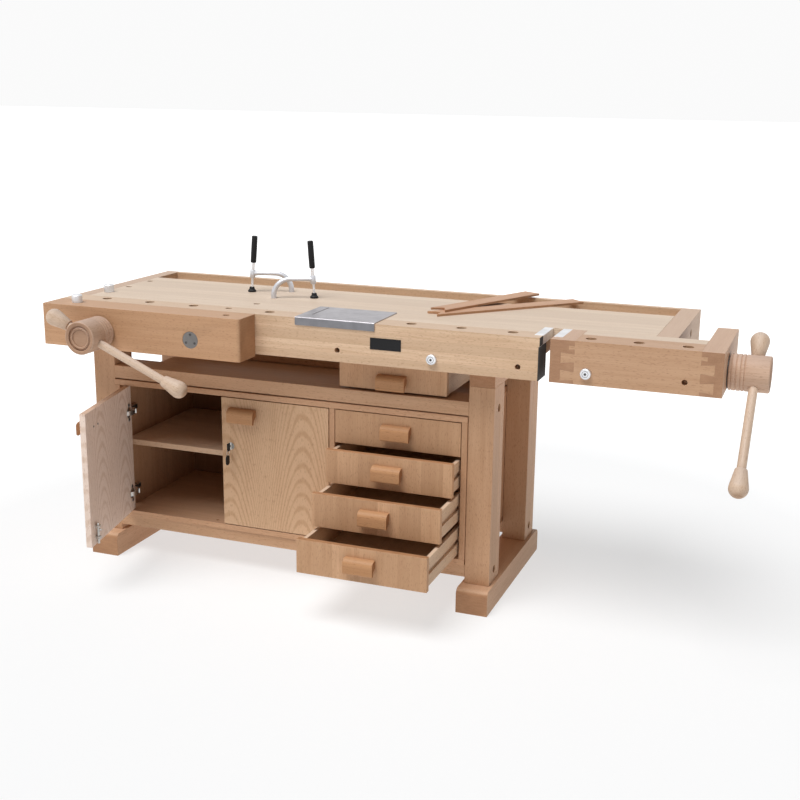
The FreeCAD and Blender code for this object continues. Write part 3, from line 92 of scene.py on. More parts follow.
class Finish:
    """A material whose nodes are written as sums of shades."""

    def __init__(self, name):
        self.material = bpy.data.materials.new(name)
        self.material.use_nodes = True
        self.tree = self.material.node_tree
        self.tree.nodes.clear()

    def node(self, kind, settings, inputs, output=0):
        made = self.tree.nodes.new(kind)
        for name, value in settings.items():
            setattr(made, name, value)
        for name, value in inputs.items():
            if isinstance(value, Shade):
                self.tree.links.new(value.socket, made.inputs[name])
            else:
                made.inputs[name].default_value = value
        return Shade(self, made.outputs[output]) if made.outputs else None

    def place(self, stretch=(1, 1, 1), turn=(0, 0, 0), shift=(0, 0, 0)):
        """A point on the piece, turned to its grain."""
        where = self.node("ShaderNodeTexCoord", {}, {}, "Object")
        inputs = {"Vector": where, "Location": shift, "Rotation": turn, "Scale": stretch}
        return self.node("ShaderNodeMapping", {}, inputs)

    def stretched(self, where, axis, factor):
        scale = [1.0, 1.0, 1.0]
        scale[axis] = factor
        return self.node("ShaderNodeMapping", {}, {"Vector": where, "Scale": scale})

    def noise(self, where, scale, detail=3.0, roughness=0.5):
        inputs = {"Vector": where, "Scale": scale, "Detail": detail, "Roughness": roughness}
        return self.node("ShaderNodeTexNoise", {}, inputs)

    def mixed(self, factor, first, second):
        return self.node("ShaderNodeMix", {"data_type": "RGBA"}, {0: factor, 6: first, 7: second}, 2)

    def bump(self, height, strength, distance):
        return self.node("ShaderNodeBump", {}, {"Height": height, "Strength": strength, "Distance": distance})

    def shader(self, **values):
        """Closes the finish. The names are the shader's own, with underscores for spaces."""
        inputs = {name.replace("_", " "): value for name, value in values.items()}
        surface = self.node("ShaderNodeBsdfPrincipled", {}, inputs)
        self.node("ShaderNodeOutputMaterial", {}, {"Surface": surface})
        return self.material


def colour(red, green, blue, shade=1.0):
    """A colour as it looks on a screen, from 0 to 255, made darker or lighter by a share."""
    linear = [((c / 255 + 0.055) / 1.055) ** 2.4 * shade for c in (red, green, blue)]
    return (*linear, 1.0)


def beech(name, grain, tone, stave=0.0, across=1, figure=0.0, turn=(0, 0, 0), seed=0.0):
    """Oiled beech with its grain along an axis. Staves lie across it, and a figure draws arches."""
    finish = Finish(name)
    pale = [c * 1.08 for c in tone[:3]] + [1.0]
    deep = [c * share for c, share in zip(tone, (0.86, 0.79, 0.72))] + [1.0]
    brown = [c * share for c, share in zip(tone, (0.5, 0.38, 0.3))] + [1.0]
    painted_top_light = [c * share for c, share in zip(tone, (1.02, 1.12, 1.3))] + [1.0]
    ends = [c * share for c, share in zip(tone, (0.74, 0.64, 0.55))] + [1.0]
    point = finish.place(turn=turn, shift=(seed, seed * 0.7, seed * 1.3))
    sideways = point.part(across)
    tint = finish.noise(point, 1.7, 1.0)
    if stave:
        number = (sideways / stave).math("FLOOR")
        tint = finish.node("ShaderNodeTexWhiteNoise", {"noise_dimensions": "1D"}, {"W": number + seed})
        slip = finish.node("ShaderNodeCombineXYZ", {}, {grain: tint * 9.0, across: tint * 3.0})
        point = finish.node("ShaderNodeVectorMath", {"operation": "ADD"}, {0: point, 1: slip})

    # growth rings seen as long streaks, with fine lines and short dark flecks between them
    streaks = finish.noise(finish.stretched(point, grain, 0.05), 46.0, 4.0, 0.6)
    lines = finish.noise(finish.stretched(point, grain, 0.02), 420.0, 2.0, 0.55)
    flecks = finish.noise(finish.stretched(point, grain, 0.22), 400.0, 1.0).between(0.6, 0.68)
    growth = streaks * 0.6 + lines * 0.4
    if figure:
        middle = ((point.part(across) / figure).math("FRACT") - 0.5) * figure
        wander = finish.noise(finish.stretched(point, grain, 0.2), 10.0, 2.0) * 13.0
        rings = (point.part(grain) * 120.0 + middle * middle * 4200.0 + wander).math("SINE")
        growth = growth * 0.72 + rings.between(0.0, 1.0) * 0.28
    body = finish.mixed(growth.between(0.36, 0.64), pale, deep)
    body = finish.mixed(tint * 0.6, body, [c * 0.86 for c in deep[:3]] + [1.0])
    body = finish.mixed(flecks * 0.4, body, brown)

    # faces that look up are made paler, a painted light from above, and faces that the grain runs out of are
    # dark
    normal = finish.node("ShaderNodeTexCoord", {}, {}, "Normal")
    body = finish.mixed(normal.part(2).between(0.5, 0.95) * 0.4, body, painted_top_light)
    facing = finish.node("ShaderNodeMapping", {}, {"Vector": normal, "Rotation": turn})
    out = facing.part(grain).math("ABSOLUTE").between(0.72, 0.92)
    speckle = finish.noise(finish.place(), 480.0, 2.0, 0.7).between(0.35, 0.7)
    years = finish.noise(finish.place((1.0, 1.0, 4.0)), 55.0, 2.0).between(0.35, 0.65)
    patch = finish.noise(finish.place(), 17.0, 0.0).between(0.4, 0.6)
    end_grain = finish.mixed(speckle * 0.3 + years * 0.25 + patch * 0.25, ends, brown)
    return finish.shader(
        Base_Color=finish.mixed(out, body, end_grain),
        Roughness=lines * 0.12 + growth * 0.06 + 0.44,
        Normal=finish.bump(growth * 0.5 - flecks * 0.5, 0.2, 0.0005),
        Specular_IOR_Level=0.35,
    )


def smoothed(mesh, angle):
    """Smooth shading, with creases where two faces meet more sharply than the angle."""
    for polygon in mesh.polygons:
        polygon.use_smooth = True
    mesh.set_sharp_from_angle(angle=math.radians(angle))


def softened(piece, width, angle, clamp):
    """Rounds the edges where two faces meet more sharply than the angle."""
    edges = piece.modifiers.new("edges", "BEVEL")
    edges.width = width
    edges.segments = 2
    edges.limit_method = "ANGLE"
    edges.angle_limit = math.radians(angle)
    edges.use_clamp_overlap = clamp
    edges.harden_normals = True


def eased(node, finish, width=0.0012, angle=34):
    """The node's own shape with eased edges. It stands for the node and rides where it rides."""
    shape = bmesh.new()
    shape.from_mesh(frame["nodes"][node].data)
    bmesh.ops.remove_doubles(shape, verts=shape.verts, dist=2e-6)
    bmesh.ops.dissolve_limit(shape, angle_limit=0.004, verts=shape.verts, edges=shape.edges)
    mesh = bpy.data.meshes.new(node + "_eased")
    shape.to_mesh(mesh)
    shape.free()
    smoothed(mesh, angle)
    mesh.materials.append(finish)
    piece = bpy.data.objects.new(node + "_eased", mesh)
    bpy.context.collection.objects.link(piece)
    if width:
        softened(piece, width, angle, clamp=False)
    bodies = frame["record"]["behaviour"]["bodies"]
    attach(piece, next(body for body, nodes in bodies.items() if node in nodes))
    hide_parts(node)
    return piece


def painted(piece, finish, test):
    """Gives another finish to the faces whose middles pass the test."""
    piece.data.materials.append(finish)
    for polygon in piece.data.polygons:
        if test(polygon.center):
            polygon.material_index = len(piece.data.materials) - 1


top_tone = colour(226, 203, 178)
eased("top_slab", beech("slab_beech", 0, top_tone, stave=0.064))

# ---- The frame of the top -----------------------------------------------------------------------
# The apron under the slab's front edge is laid up in two boards. End caps run across the ends, and
# a thin rail closes the tool well, whose floor is let into grooves.

apron_tone = colour(223, 193, 163)
cap_tone = colour(212, 182, 156)
apron_low, apron_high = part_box("front_apron")
apron = eased("front_apron", beech("apron_beech", 0, apron_tone, stave=0.031, across=2, seed=0.4))
eased("left_end_cap", beech("cap_beech", 1, cap_tone, seed=0.8))
eased("right_end_cap", beech("right_cap_beech", 1, cap_tone, seed=1.2))
eased("back_rail", beech("rail_beech", 0, apron_tone, seed=1.7))
eased("well_floor", beech("well_beech", 0, top_tone, stave=0.07, seed=2.3))

# ---- The jaw of the top -------------------------------------------------------------------------
# A ground steel bar is let into the top corner, above a dark leather facing glued to the wood.


def metal(name, tone, roughness, grain=(1.0, 14.0, 14.0), depth=0.1):
    """Metal with smudges, and with fine scratches drawn out along an axis."""
    finish = Finish(name)
    smudge = finish.noise(finish.place(), 30.0)
    scratch = finish.noise(finish.place(grain), 110.0, 2.0)
    worn = [c * 0.8 for c in tone[:3]] + [1.0]
    return finish.shader(
        Base_Color=finish.mixed(smudge.between(0.35, 0.75), tone, worn),
        Metallic=1.0,
        Roughness=smudge * 0.14 + scratch * 0.12 + (roughness - 0.12),
        Normal=finish.bump(scratch, depth, 0.0003),
    )


def leather(name):
    """Dark leather with fine pits."""
    finish = Finish(name)
    pits = finish.node("ShaderNodeTexVoronoi", {}, {"Vector": finish.place(), "Scale": 420.0})
    cloud = finish.noise(finish.place(), 24.0)
    return finish.shader(
        Base_Color=finish.mixed(cloud, colour(38, 36, 36), colour(66, 62, 60)),
        Roughness=pits * 0.3 + 0.62,
        Normal=finish.bump(pits, 0.5, 0.0006),
    )


steel = metal("ground_steel", colour(236, 236, 238), 0.36)
facing = eased("bench_jaw_facing", steel, width=0.0005)
steel_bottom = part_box("tail_jaw_bar")[0].z
jaw_leather = leather("jaw_leather")
painted(facing, jaw_leather, lambda middle: middle.z < steel_bottom - 0.0005)
painted(apron, jaw_leather, lambda middle: middle.x > apron_high.x - 0.0002)

# ---- The trestles -------------------------------------------------------------------------------
# Rounded feet, stout legs tenoned into them and rails across their tops. The legs are glued up
# from two boards, and the stretchers between them carry the cabinet.

leg_tone = colour(208, 168, 134)
eased("feet", beech("foot_beech", 1, leg_tone, seed=3.9))
eased("legs", beech("leg_beech", 2, leg_tone, stave=0.052, across=1, seed=3.1))
eased("top_rails", beech("top_rail_beech", 1, leg_tone, seed=4.2))
eased("stretchers", beech("stretcher_beech", 0, leg_tone, seed=4.6))

# ---- The frame's bolts --------------------------------------------------------------------------
# Blackened hexagon bolts with washers, sunk in round recesses in the legs and the end caps.


def lathe(shape, profile, place, steps=40):
    """Turns a profile of (radius, height) pairs about an upright axis, then puts it in its place."""
    points = [shape.verts.new((radius, 0.0, height)) for radius, height in profile]
    edges = [shape.edges.new(pair) for pair in zip(points, points[1:])]
    before = set(shape.verts) - set(points)
    geometry = [*points, *edges]
    bmesh.ops.spin(
        shape, geom=geometry, cent=(0, 0, 0), axis=(0, 0, 1), angle=math.tau, steps=steps, use_merge=True
    )
    turned = [vertex for vertex in shape.verts if vertex not in before]
    bmesh.ops.remove_doubles(shape, verts=turned, dist=1e-7)
    turned = [vertex for vertex in shape.verts if vertex not in before]
    bmesh.ops.transform(shape, matrix=place, verts=turned)


def finished(name, body, shape, finish, width=0.0, angle=34):
    """Makes a piece of a shape, eases its edges and lets it ride on a body."""
    bmesh.ops.recalc_face_normals(shape, faces=shape.faces)
    mesh = bpy.data.meshes.new(name)
    shape.to_mesh(mesh)
    shape.free()
    smoothed(mesh, angle)
    mesh.materials.append(finish)
    piece = bpy.data.objects.new(name, mesh)
    bpy.context.collection.objects.link(piece)
    if width:
        softened(piece, width, angle, clamp=True)
    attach(piece, body)
    return piece


def facing_to(axis, where):
    """A place whose upright points along an axis."""
    return Matrix.Translation(where) @ Vector(axis).to_track_quat("Z", "Y").to_matrix().to_4x4()


legs_low, legs_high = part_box("legs")
leg_depth = 0.104
stretcher_low, stretcher_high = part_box("stretchers")
bolt_heights = (stretcher_low.z + 0.0195, stretcher_high.z - 0.0215)
slab_low, slab_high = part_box("top_slab")
cap_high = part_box("right_end_cap")[1]
recess = 0.012
cap_bolt_height = slab_low.z + 0.024

bolts = []
for y in (legs_low.y + leg_depth / 2, legs_high.y - leg_depth / 2):
    for z in bolt_heights:
        bolts.append(((-1, 0, 0), Vector((legs_low.x + recess, y, z))))
        bolts.append(((1, 0, 0), Vector((legs_high.x - recess, y, z))))
for y in (0.225, 0.433):
    bolts.append(((-1, 0, 0), Vector((apron_low.x + recess, apron_low.y + y, cap_bolt_height))))
    bolts.append(((1, 0, 0), Vector((cap_high.x - recess, apron_low.y + y, cap_bolt_height))))

shape = bmesh.new()
for axis, where in bolts:
    seat = facing_to(axis, where)
    lathe(shape, [(0, 0), (0.009, 0), (0.009, 0.0014), (0, 0.0014)], seat, 32)
    lathe(shape, [(0, 0.0015), (0.0078, 0.0015), (0.0078, 0.0054), (0.0066, 0.006), (0, 0.006)], seat, 6)
    lathe(shape, [(0, 0), (0.005, 0), (0.005, -0.122), (0.0035, -0.124), (0, -0.124)], seat, 20)
# the blackened steel also paints the vise flanges dark, as painted shade
dark_steel_and_shade = metal("blackened_steel_and_painted_shade", colour(96, 94, 94), 0.48)
bolt_piece = finished("frame_bolt_set", "bench", shape, dark_steel_and_shade, width=0.0003)
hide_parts("frame_bolts")

# ---- The vises' nuts and guides -----------------------------------------------------------------
# Cast-iron nuts stand behind the apron and under the slab's edge, with a beech bush for the front
# guide rod and a steel rail for the tail vise.


def cast(name, tone):
    """Painted cast iron, with the skin of its sand mould."""
    finish = Finish(name)
    skin = finish.noise(finish.place(), 260.0, 4.0, 0.65)
    dust = finish.noise(finish.place(), 18.0).between(0.4, 0.7)
    return finish.shader(
        Base_Color=finish.mixed(dust * 0.5, tone, [c * 1.7 for c in tone[:3]] + [1.0]),
        Metallic=0.2,
        Roughness=skin * 0.2 + 0.5,
        Normal=finish.bump(skin, 0.4, 0.0006),
    )


iron = cast("cast_iron", colour(60, 62, 66))
for node in ("front_vise_nut", "tail_vise_nut"):
    eased(node, iron, width=0.001)
eased("tail_guide_rail", steel, width=0.0005)
eased("front_guide_bush", beech("bush_beech", 1, leg_tone, seed=5.0))

# ---- The front vise's jaw -----------------------------------------------------------------------
# One thick beech block with a rounded right corner. Its guide rod ends in a steel disc, sunk flush
# and held by three countersunk screws.

jaw_tone = colour(206, 164, 128)
eased("front_jaw", beech("jaw_beech", 0, jaw_tone, stave=0.036, across=2, seed=5.26), width=0.0018)
guide = eased("front_guide_rod", steel, width=0.0004)


def screw_heads(shape, places, radius):
    """Countersunk heads: a shallow dome with a round recess in its middle."""
    arm = radius * 0.62
    for seat in places:
        dome = [(0, 0.0), (radius, 0.0), (radius * 0.96, radius * 0.1), (radius * 0.6, radius * 0.24)]
        dome += [(arm * 0.55, radius * 0.28), (arm * 0.3, -radius * 0.02), (0, -radius * 0.02)]
        lathe(shape, dome, seat, 16)


jaw_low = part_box("front_jaw")[0]
screw_height = apron_high.z - 0.076
disc_middle = Vector((apron_low.x + 0.526, jaw_low.y + 0.001, screw_height))
shape = bmesh.new()
seats = []
for number in range(3):
    angle = math.radians(90 + number * 120)
    offset = Vector((math.cos(angle), 0.0, math.sin(angle))) * 0.017
    seats.append(facing_to((0, -1, 0), disc_middle + offset))
screw_heads(shape, seats, 0.0042)
finished("guide_disc_screws", "front_vise", shape, dark_steel_and_shade)
disc_tone = metal("disc_steel", colour(126, 123, 121), 0.5)
painted(guide, disc_tone, lambda middle: middle.y < jaw_low.y + 0.0052)
# the flange between the hub and the jaw is painted dark, a painted shade for the gap there
painted(guide, dark_steel_and_shade, lambda middle: middle.x < disc_middle.x - 0.1 and middle.y < jaw_low.y)

# ---- The front vise's screw, hub and handle -----------------------------------------------------
# A steel screw with a coarse thread turns in its nut. The turned beech hub has three beads, and the
# bar slides through it between two turned knobs.


def thread(shape, core, crest, pitch, low, high, place, steps=20):
    """A thread: its section turns and climbs by one pitch in each turn."""
    root, width, flank = core - 0.0004, pitch * 0.56, pitch * 0.14
    section = [(root, 0), (root, width), (crest, width - flank), (crest, flank)]
    points = [shape.verts.new((radius, 0.0, low + height)) for radius, height in section]
    before = set(shape.verts) - set(points)
    start = shape.faces.new(points)
    turns = int((high - low - pitch) / pitch)
    climb = (0, 0, pitch / steps)
    angle = math.tau * turns
    bmesh.ops.spin(
        shape, geom=[start], cent=(0, 0, 0), axis=(0, 0, 1), dvec=climb, angle=angle, steps=steps * turns
    )
    bmesh.ops.transform(shape, matrix=place, verts=[v for v in shape.verts if v not in before])


def vise_screw(name, node, body, place, collar, end):
    """The screw stands on its hub, with a plain end in it, then a collar, then the thread."""
    shape = bmesh.new()
    core, rod, pitch = 0.0118, 0.014, 0.01
    profile = [(0, -0.052), (rod, -0.052), (rod, collar), (0.021, collar), (0.021, collar + 0.007)]
    profile += [(rod, collar + 0.007), (rod, collar + 0.012), (core, collar + 0.0145)]
    profile += [(core, end - 0.003), (core - 0.003, end), (0, end)]
    lathe(shape, profile, place)
    thread(shape, core, rod, pitch, collar + 0.014, end - 0.004, place)
    piece = finished(name, body, shape, steel)
    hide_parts(node)


front_hub_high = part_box("front_hub")[1]
front_screw_x = apron_low.x + 0.2096
front_seat = facing_to((0, 1, 0), (front_screw_x, front_hub_high.y, screw_height))
vise_screw("front_threaded_screw", "front_screw", "front_spindle", front_seat, 0.0963, 0.38)


def turned_hub(node, finish, place):
    """The hub's own shape with deep grooves at the jaw end and a dish round the bead on its face."""
    hub = eased(node, finish, width=0.0005, angle=40)
    shape = bmesh.new()
    shape.from_mesh(hub.data)
    bmesh.ops.transform(shape, matrix=place.inverted(), verts=shape.verts)
    for height in (0.0405, 0.0425, 0.0445):
        geometry = [*shape.verts, *shape.edges, *shape.faces]
        bmesh.ops.bisect_plane(shape, geom=geometry, plane_co=(0, 0, height), plane_no=(0, 0, 1))
    # each ring of corners has its radius and height in mm, then the new ones: grooves, then the dish
    moves = [(49.2, 10.5, 48.2, 7.0), (51.0, 9.0, 51.0, 5.0), (51.0, 12.0, 51.0, 9.0)]
    moves += [(49.2, 21.5, 48.2, 20.0), (51.0, 20.0, 51.0, 18.0), (51.0, 23.0, 51.0, 22.0)]
    moves += [(49.2, 32.5, 48.2, 32.5), (51.0, 31.0, 51.0, 30.5), (51.0, 34.0, 51.0, 34.5)]
    moves += [(51.0, 42.5, 48.2, 42.5)]
    moves += [(40.0, 110.0, 46.0, 110.0), (37.0, 106.0, 42.5, 102.5), (30.0, 106.0, 33.5, 102.5)]
    moves += [(28.0, 108.0, 31.5, 108.5), (25.0, 104.0, 28.5, 103.0)]
    for vertex in shape.verts:
        radius = math.hypot(vertex.co.x, vertex.co.y)
        for old_radius, old_height, new_radius, new_height in moves:
            if abs(radius * 1000 - old_radius) < 0.3 and abs(vertex.co.z * 1000 - old_height) < 0.3:
                share = new_radius / 1000 / radius
                vertex.co = (vertex.co.x * share, vertex.co.y * share, new_height / 1000)
                break
    bmesh.ops.transform(shape, matrix=place, verts=shape.verts)
    shape.to_mesh(hub.data)
    shape.free()
    smoothed(hub.data, 40)


def turned_handle(name, node, body, finish, place, slip):
    """A bar with a tapered knob at each end. The slip is how far it is pushed through the hub."""
    top = 0.0513 + slip
    bottom = top - 0.354
    knob = [(0.0155, 0.0), (0.017, 0.0015), (0.0222, 0.0308), (0.0251, 0.046)]
    for step in range(10):
        angle = math.radians(-16 + 106 * step / 9)
        knob.append((0.0265 * math.cos(angle), 0.0565 + 0.0265 * math.sin(angle)))
    knob[-1] = (0.0, knob[-1][1])
    profile = [(radius, bottom - height) for radius, height in reversed(knob)]
    profile += [(0.0125, bottom), (0.0125, top)] + [(radius, top + height) for radius, height in knob]
    shape = bmesh.new()
    lathe(shape, profile, place, 32)
    piece = finished(name, body, shape, finish, angle=50)
    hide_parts(node)


hub_tone = colour(204, 174, 152)
bar_tone = colour(216, 193, 172)
front_hub_wood = beech("front_hub_beech", 1, hub_tone, seed=7.0)
turned_hub("front_hub", front_hub_wood, facing_to((0, -1, 0), front_seat.translation))
front_tilt = math.radians(23.5)
front_bar_wood = beech("front_bar_beech", 0, bar_tone, turn=(0, -front_tilt, 0), seed=7.3)
handle_middle = 0.0687
front_centre = (front_screw_x, front_hub_high.y - handle_middle, screw_height)
upward = (-math.cos(front_tilt), 0.0, math.sin(front_tilt))
bar_place = facing_to(upward, front_centre)
turned_handle("front_bar_and_knobs", "front_handle", "front_bar", front_bar_wood, bar_place, 0.016)

# ---- The tail vise ------------------------------------------------------------------------------
# A front board is joined to its jaw block and end block by dovetails with lapped ends. A thin board
# covers the screw. The screw, hub and handle are made like the front vise's.

tail_tone = colour(204, 166, 134)
eased("tail_front_board", beech("tail_board_beech", 0, tail_tone, seed=5.6), width=0.0007)
eased("tail_jaw_block", beech("jaw_block_beech", 1, colour(207, 172, 144), seed=6.1), width=0.0007)
eased("tail_end_block", beech("end_block_beech", 1, colour(207, 172, 144), seed=6.4), width=0.0007)
eased("tail_top_board", beech("cover_beech", 0, top_tone, seed=6.8))
eased("tail_jaw_bar", steel, width=0.0005)
bar = eased("tail_guide_bar", beech("guide_bar_beech", 0, leg_tone, seed=6.9), width=0.0005)
end_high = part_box("tail_end_block")[1]
# the guide bar's flange beyond the end block is painted dark, a painted shade for the gap by the hub
painted(bar, dark_steel_and_shade, lambda middle: middle.x > end_high.x - 0.0001)

tail_hub_low, tail_hub_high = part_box("tail_hub")
tail_seat = facing_to((-1, 0, 0), (tail_hub_low.x, (tail_hub_low.y + tail_hub_high.y) / 2, screw_height))
vise_screw("tail_threaded_screw", "tail_screw", "tail_spindle", tail_seat, 0.064, 0.4)
tail_hub_wood = beech("tail_hub_beech", 0, hub_tone, seed=7.6)
turned_hub("tail_hub", tail_hub_wood, facing_to((1, 0, 0), tail_seat.translation))
tail_tilt = math.radians(45.9)
tail_bar_wood = beech("tail_bar_beech", 2, bar_tone, turn=(tail_tilt, 0, 0), seed=7.9)
tail_centre = tail_seat.translation + Vector((handle_middle, 0, 0))
upward = (0.0, math.sin(tail_tilt), math.cos(tail_tilt))
bar_place = facing_to(upward, tail_centre)
turned_handle("tail_bar_and_knobs", "tail_handle", "tail_bar", tail_bar_wood, bar_place, 0.0)

# ---- The cabinet --------------------------------------------------------------------------------
# A case of edge-glued beech board with a thin back, one loose shelf and hardwood drawer runners.

case_tone = colour(204, 162, 128)
board_tone = colour(222, 192, 164)
eased("cabinet_uprights", beech("side_beech", 2, case_tone, stave=0.09, across=1, seed=8.2))
eased("cabinet_top_and_bottom", beech("case_beech", 0, case_tone, stave=0.09, seed=8.8))
# the back's tone is much darker than the case's, a painted shade for the dim inside of the cabinet
shaded_back_tone = colour(140, 98, 70)
eased("cabinet_back", beech("shaded_back_beech", 2, shaded_back_tone, stave=0.12, across=0, seed=9.3))
eased("cabinet_shelf", beech("shelf_beech", 0, board_tone, stave=0.09, seed=9.5))
eased("drawer_runners", beech("runner_beech", 1, board_tone, seed=9.7), width=0.0006)

# ---- Hinge arms and shelf pins ------------------------------------------------------------------
# Nickelled arms are screwed inside the wide bay, each with a curved hook that the door's horn runs
# in. Their covers are dark, and steel pins carry the shelf.

nickel = metal("nickel_plate", colour(206, 204, 200), 0.3)
arms = eased("cabinet_fittings", nickel, width=0.0004)
cover_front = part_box("cabinet_uprights")[0].y + 0.045
shelf_height = 0.39
painted(arms, dark_steel_and_shade, lambda middle: middle.y > cover_front and abs(middle.z - shelf_height) > 0.03)

# ---- The doors ----------------------------------------------------------------------------------
# Inset doors of three boards each, with a rounded pull screwed on from the inside, cup hinges and
# their plates. The left one stands open, so its pieces are made shut and swung out.

door_tone = colour(210, 173, 138)
pull_tone = colour(194, 146, 104)
# the open door's tone is much paler than the shut door's, painted light on its inner face
lit_inner_tone = colour(250, 230, 217)
board = 0.019
pull_depth = 0.026
pivot = Vector((apron_low.x + 0.162, apron_low.y + 0.0795, 0.0))
open_angle = math.radians(78)
swing = Matrix.Translation(pivot) @ Matrix.Rotation(-open_angle, 4, "Z") @ Matrix.Translation(-pivot)
shut = swing.inverted()
right_low, right_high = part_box("right_door")
door_front = right_low.y + pull_depth
door_width = right_high.x - right_low.x
left_edge = pivot.x - 0.012

door_wood = beech("door_beech", 2, door_tone, figure=0.262, across=0, seed=9.85)
pull_wood = beech("pull_beech", 0, pull_tone, seed=10.2)
right_door = eased("right_door", door_wood)
painted(right_door, pull_wood, lambda middle: middle.y < door_front - 0.0003)

open_turn = (0, 0, open_angle)
# the open door's wood takes the pale tone, a painted light
lit_inner_wood = beech("lit_open_door_beech", 2, lit_inner_tone, figure=0.187, across=0, turn=open_turn, seed=10.4)
left_pull_wood = beech("open_pull_beech", 0, pull_tone, turn=open_turn, seed=10.7)
left_door = eased("left_door", lit_inner_wood)
painted(left_door, left_pull_wood, lambda middle: (shut @ middle).y < door_front - 0.0003)


def rounded_plate(shape, length, width, thickness, place):
    """A thin plate with round ends, lying flat."""
    steps = 10
    half = width / 2
    corners = []
    for side in (1, -1):
        for step in range(steps + 1):
            angle = math.radians(-90 + 180 * step / steps)
            x = math.cos(angle) * half + (length / 2 - half)
            corners.append((x * side, math.sin(angle) * half * side, 0.0))
    before = set(shape.verts)
    face = shape.faces.new([shape.verts.new(corner) for corner in corners])
    lifted = bmesh.ops.extrude_face_region(shape, geom=[face])
    rim = [item for item in lifted["geom"] if isinstance(item, bmesh.types.BMVert)]
    bmesh.ops.translate(shape, verts=rim, vec=(0, 0, thickness))
    bmesh.ops.transform(shape, matrix=place, verts=[v for v in shape.verts if v not in before])


hinge_inset = 0.062
hinge_heights = [right_low.z + hinge_inset, right_high.z - hinge_inset - 0.025]
door_back = door_front + board
plate_depth = 0.0012


def hinge_plates(name, body, cup_x, pull_x, frame_of):
    """Plates round the hinge cups, their screws and the two screws of the pull, on the inside."""
    plates = bmesh.new()
    heads = bmesh.new()
    seats = []
    for z in hinge_heights:
        for side in (-1, 1):
            height = z + side * 0.0245
            seats.append(frame_of @ facing_to((0, 1, 0), (cup_x, door_back + plate_depth, height)))
            ear = frame_of @ facing_to((0, 1, 0), (cup_x, door_back, height))
            rounded_plate(plates, 0.016, 0.013, plate_depth, ear)
    screw_heads(heads, seats, 0.0036)
    pull_seats = []
    for step in (-0.016, 0.016):
        pull_screw = (pull_x + step, door_back, right_high.z - 0.054)
        pull_seats.append(frame_of @ facing_to((0, 1, 0), pull_screw))
    screw_heads(heads, pull_seats, 0.0034)
    finished(name + "_plates", body, plates, nickel, width=0.0003)
    finished(name + "_screws", body, heads, dark_steel_and_shade)


cup_inset = 0.0225
pull_inset, pull_width = 0.03, 0.093
pull_middle = pull_inset + pull_width / 2
identity = Matrix.Identity(4)
hinge_plates("left_hinge", "door_left", left_edge + cup_inset, left_edge + door_width - pull_middle, swing)
hinge_plates("right_hinge", "door_right", right_high.x - cup_inset, right_low.x + pull_middle, identity)
for node in ("left_door_fittings", "right_door_fittings", "left_door_bolt"):
    eased(node, nickel, width=0.0003)

# ---- The lock and its key -----------------------------------------------------------------------
# A cam lock with a bright barrel. The key's bow is moulded in black plastic, and a ring on it
# carries a black fob.


def plastic(name, tone, roughness):
    """Moulded plastic with a fine spark-eroded grain."""
    finish = Finish(name)
    grain = finish.noise(finish.place(), 900.0, 2.0)
    sheen = finish.noise(finish.place(), 20.0)
    return finish.shader(
        Base_Color=finish.mixed(sheen, tone, [c * 1.6 for c in tone[:3]] + [1.0]),
        Roughness=grain * 0.16 + roughness,
        Normal=finish.bump(grain, 0.2, 0.0003),
        Specular_IOR_Level=0.25,
    )


black = plastic("black_plastic", colour(17, 17, 19), 0.4)
key = eased("door_key", nickel, width=0.0006)
painted(key, black, lambda middle: middle.y < door_front - 0.0085)
key_low, key_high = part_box("door_key")
key_middle = (key_low + key_high) / 2

shape = bmesh.new()
ring_middle = Matrix.Translation((key_middle.x, key_low.y + 0.005, key_low.z - 0.004))
ring_place = ring_middle @ Matrix.Rotation(0.3, 4, "X") @ Matrix.Rotation(math.pi / 2, 4, "Y")
ring_radius, wire_radius = 0.009, 0.0009
section = []
for number in range(8):
    angle = number * math.pi / 4
    section.append((ring_radius + wire_radius * math.cos(angle), wire_radius * math.sin(angle)))
lathe(shape, section + section[:1], ring_place, 28)
finished("key_ring", "key", shape, nickel)

shape = bmesh.new()
fob_place = Matrix.Translation((key_middle.x - 0.002, key_low.y + 0.004, key_low.z - 0.012))
fob_place = fob_place @ Matrix.Rotation(math.pi / 2, 4, "Y") @ Matrix.Translation((0.017, 0, -0.002))
fob_length, fob_width, fob_depth = 0.034, 0.021, 0.004
rounded_plate(shape, fob_length, fob_width, fob_depth, fob_place)
finished("key_fob", "key", shape, black, width=0.0008)

# ---- The drawers --------------------------------------------------------------------------------
# Fronts with upright grain and a rounded pull, on boxes of pale board. Grooves in the sides ride
# on the runners.

drawer_side_wood = beech("drawer_side_beech", 1, colour(222, 194, 166), seed=11.3)
drawer_tone = colour(205, 164, 128)
drawer_names = ("drawer_1", "drawer_2", "drawer_3", "drawer_4", "under_drawer")
for number, node in enumerate(drawer_names):
    low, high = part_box(node)
    front_face = low.y + pull_depth
    front_wood = beech(f"{node}_beech", 2, drawer_tone, stave=0.068, across=0, seed=11.8 + number * 0.37)
    drawer = eased(node, drawer_side_wood, width=0.0009)
    painted(drawer, front_wood, lambda middle: front_face - 0.0003 < middle.y < front_face + 0.0183)
    painted(drawer, pull_wood, lambda middle: middle.y < front_face - 0.0003)

# ---- The nameplate ------------------------------------------------------------------------------
# A thin black plate on the apron, left bare, with a fine raised rim.

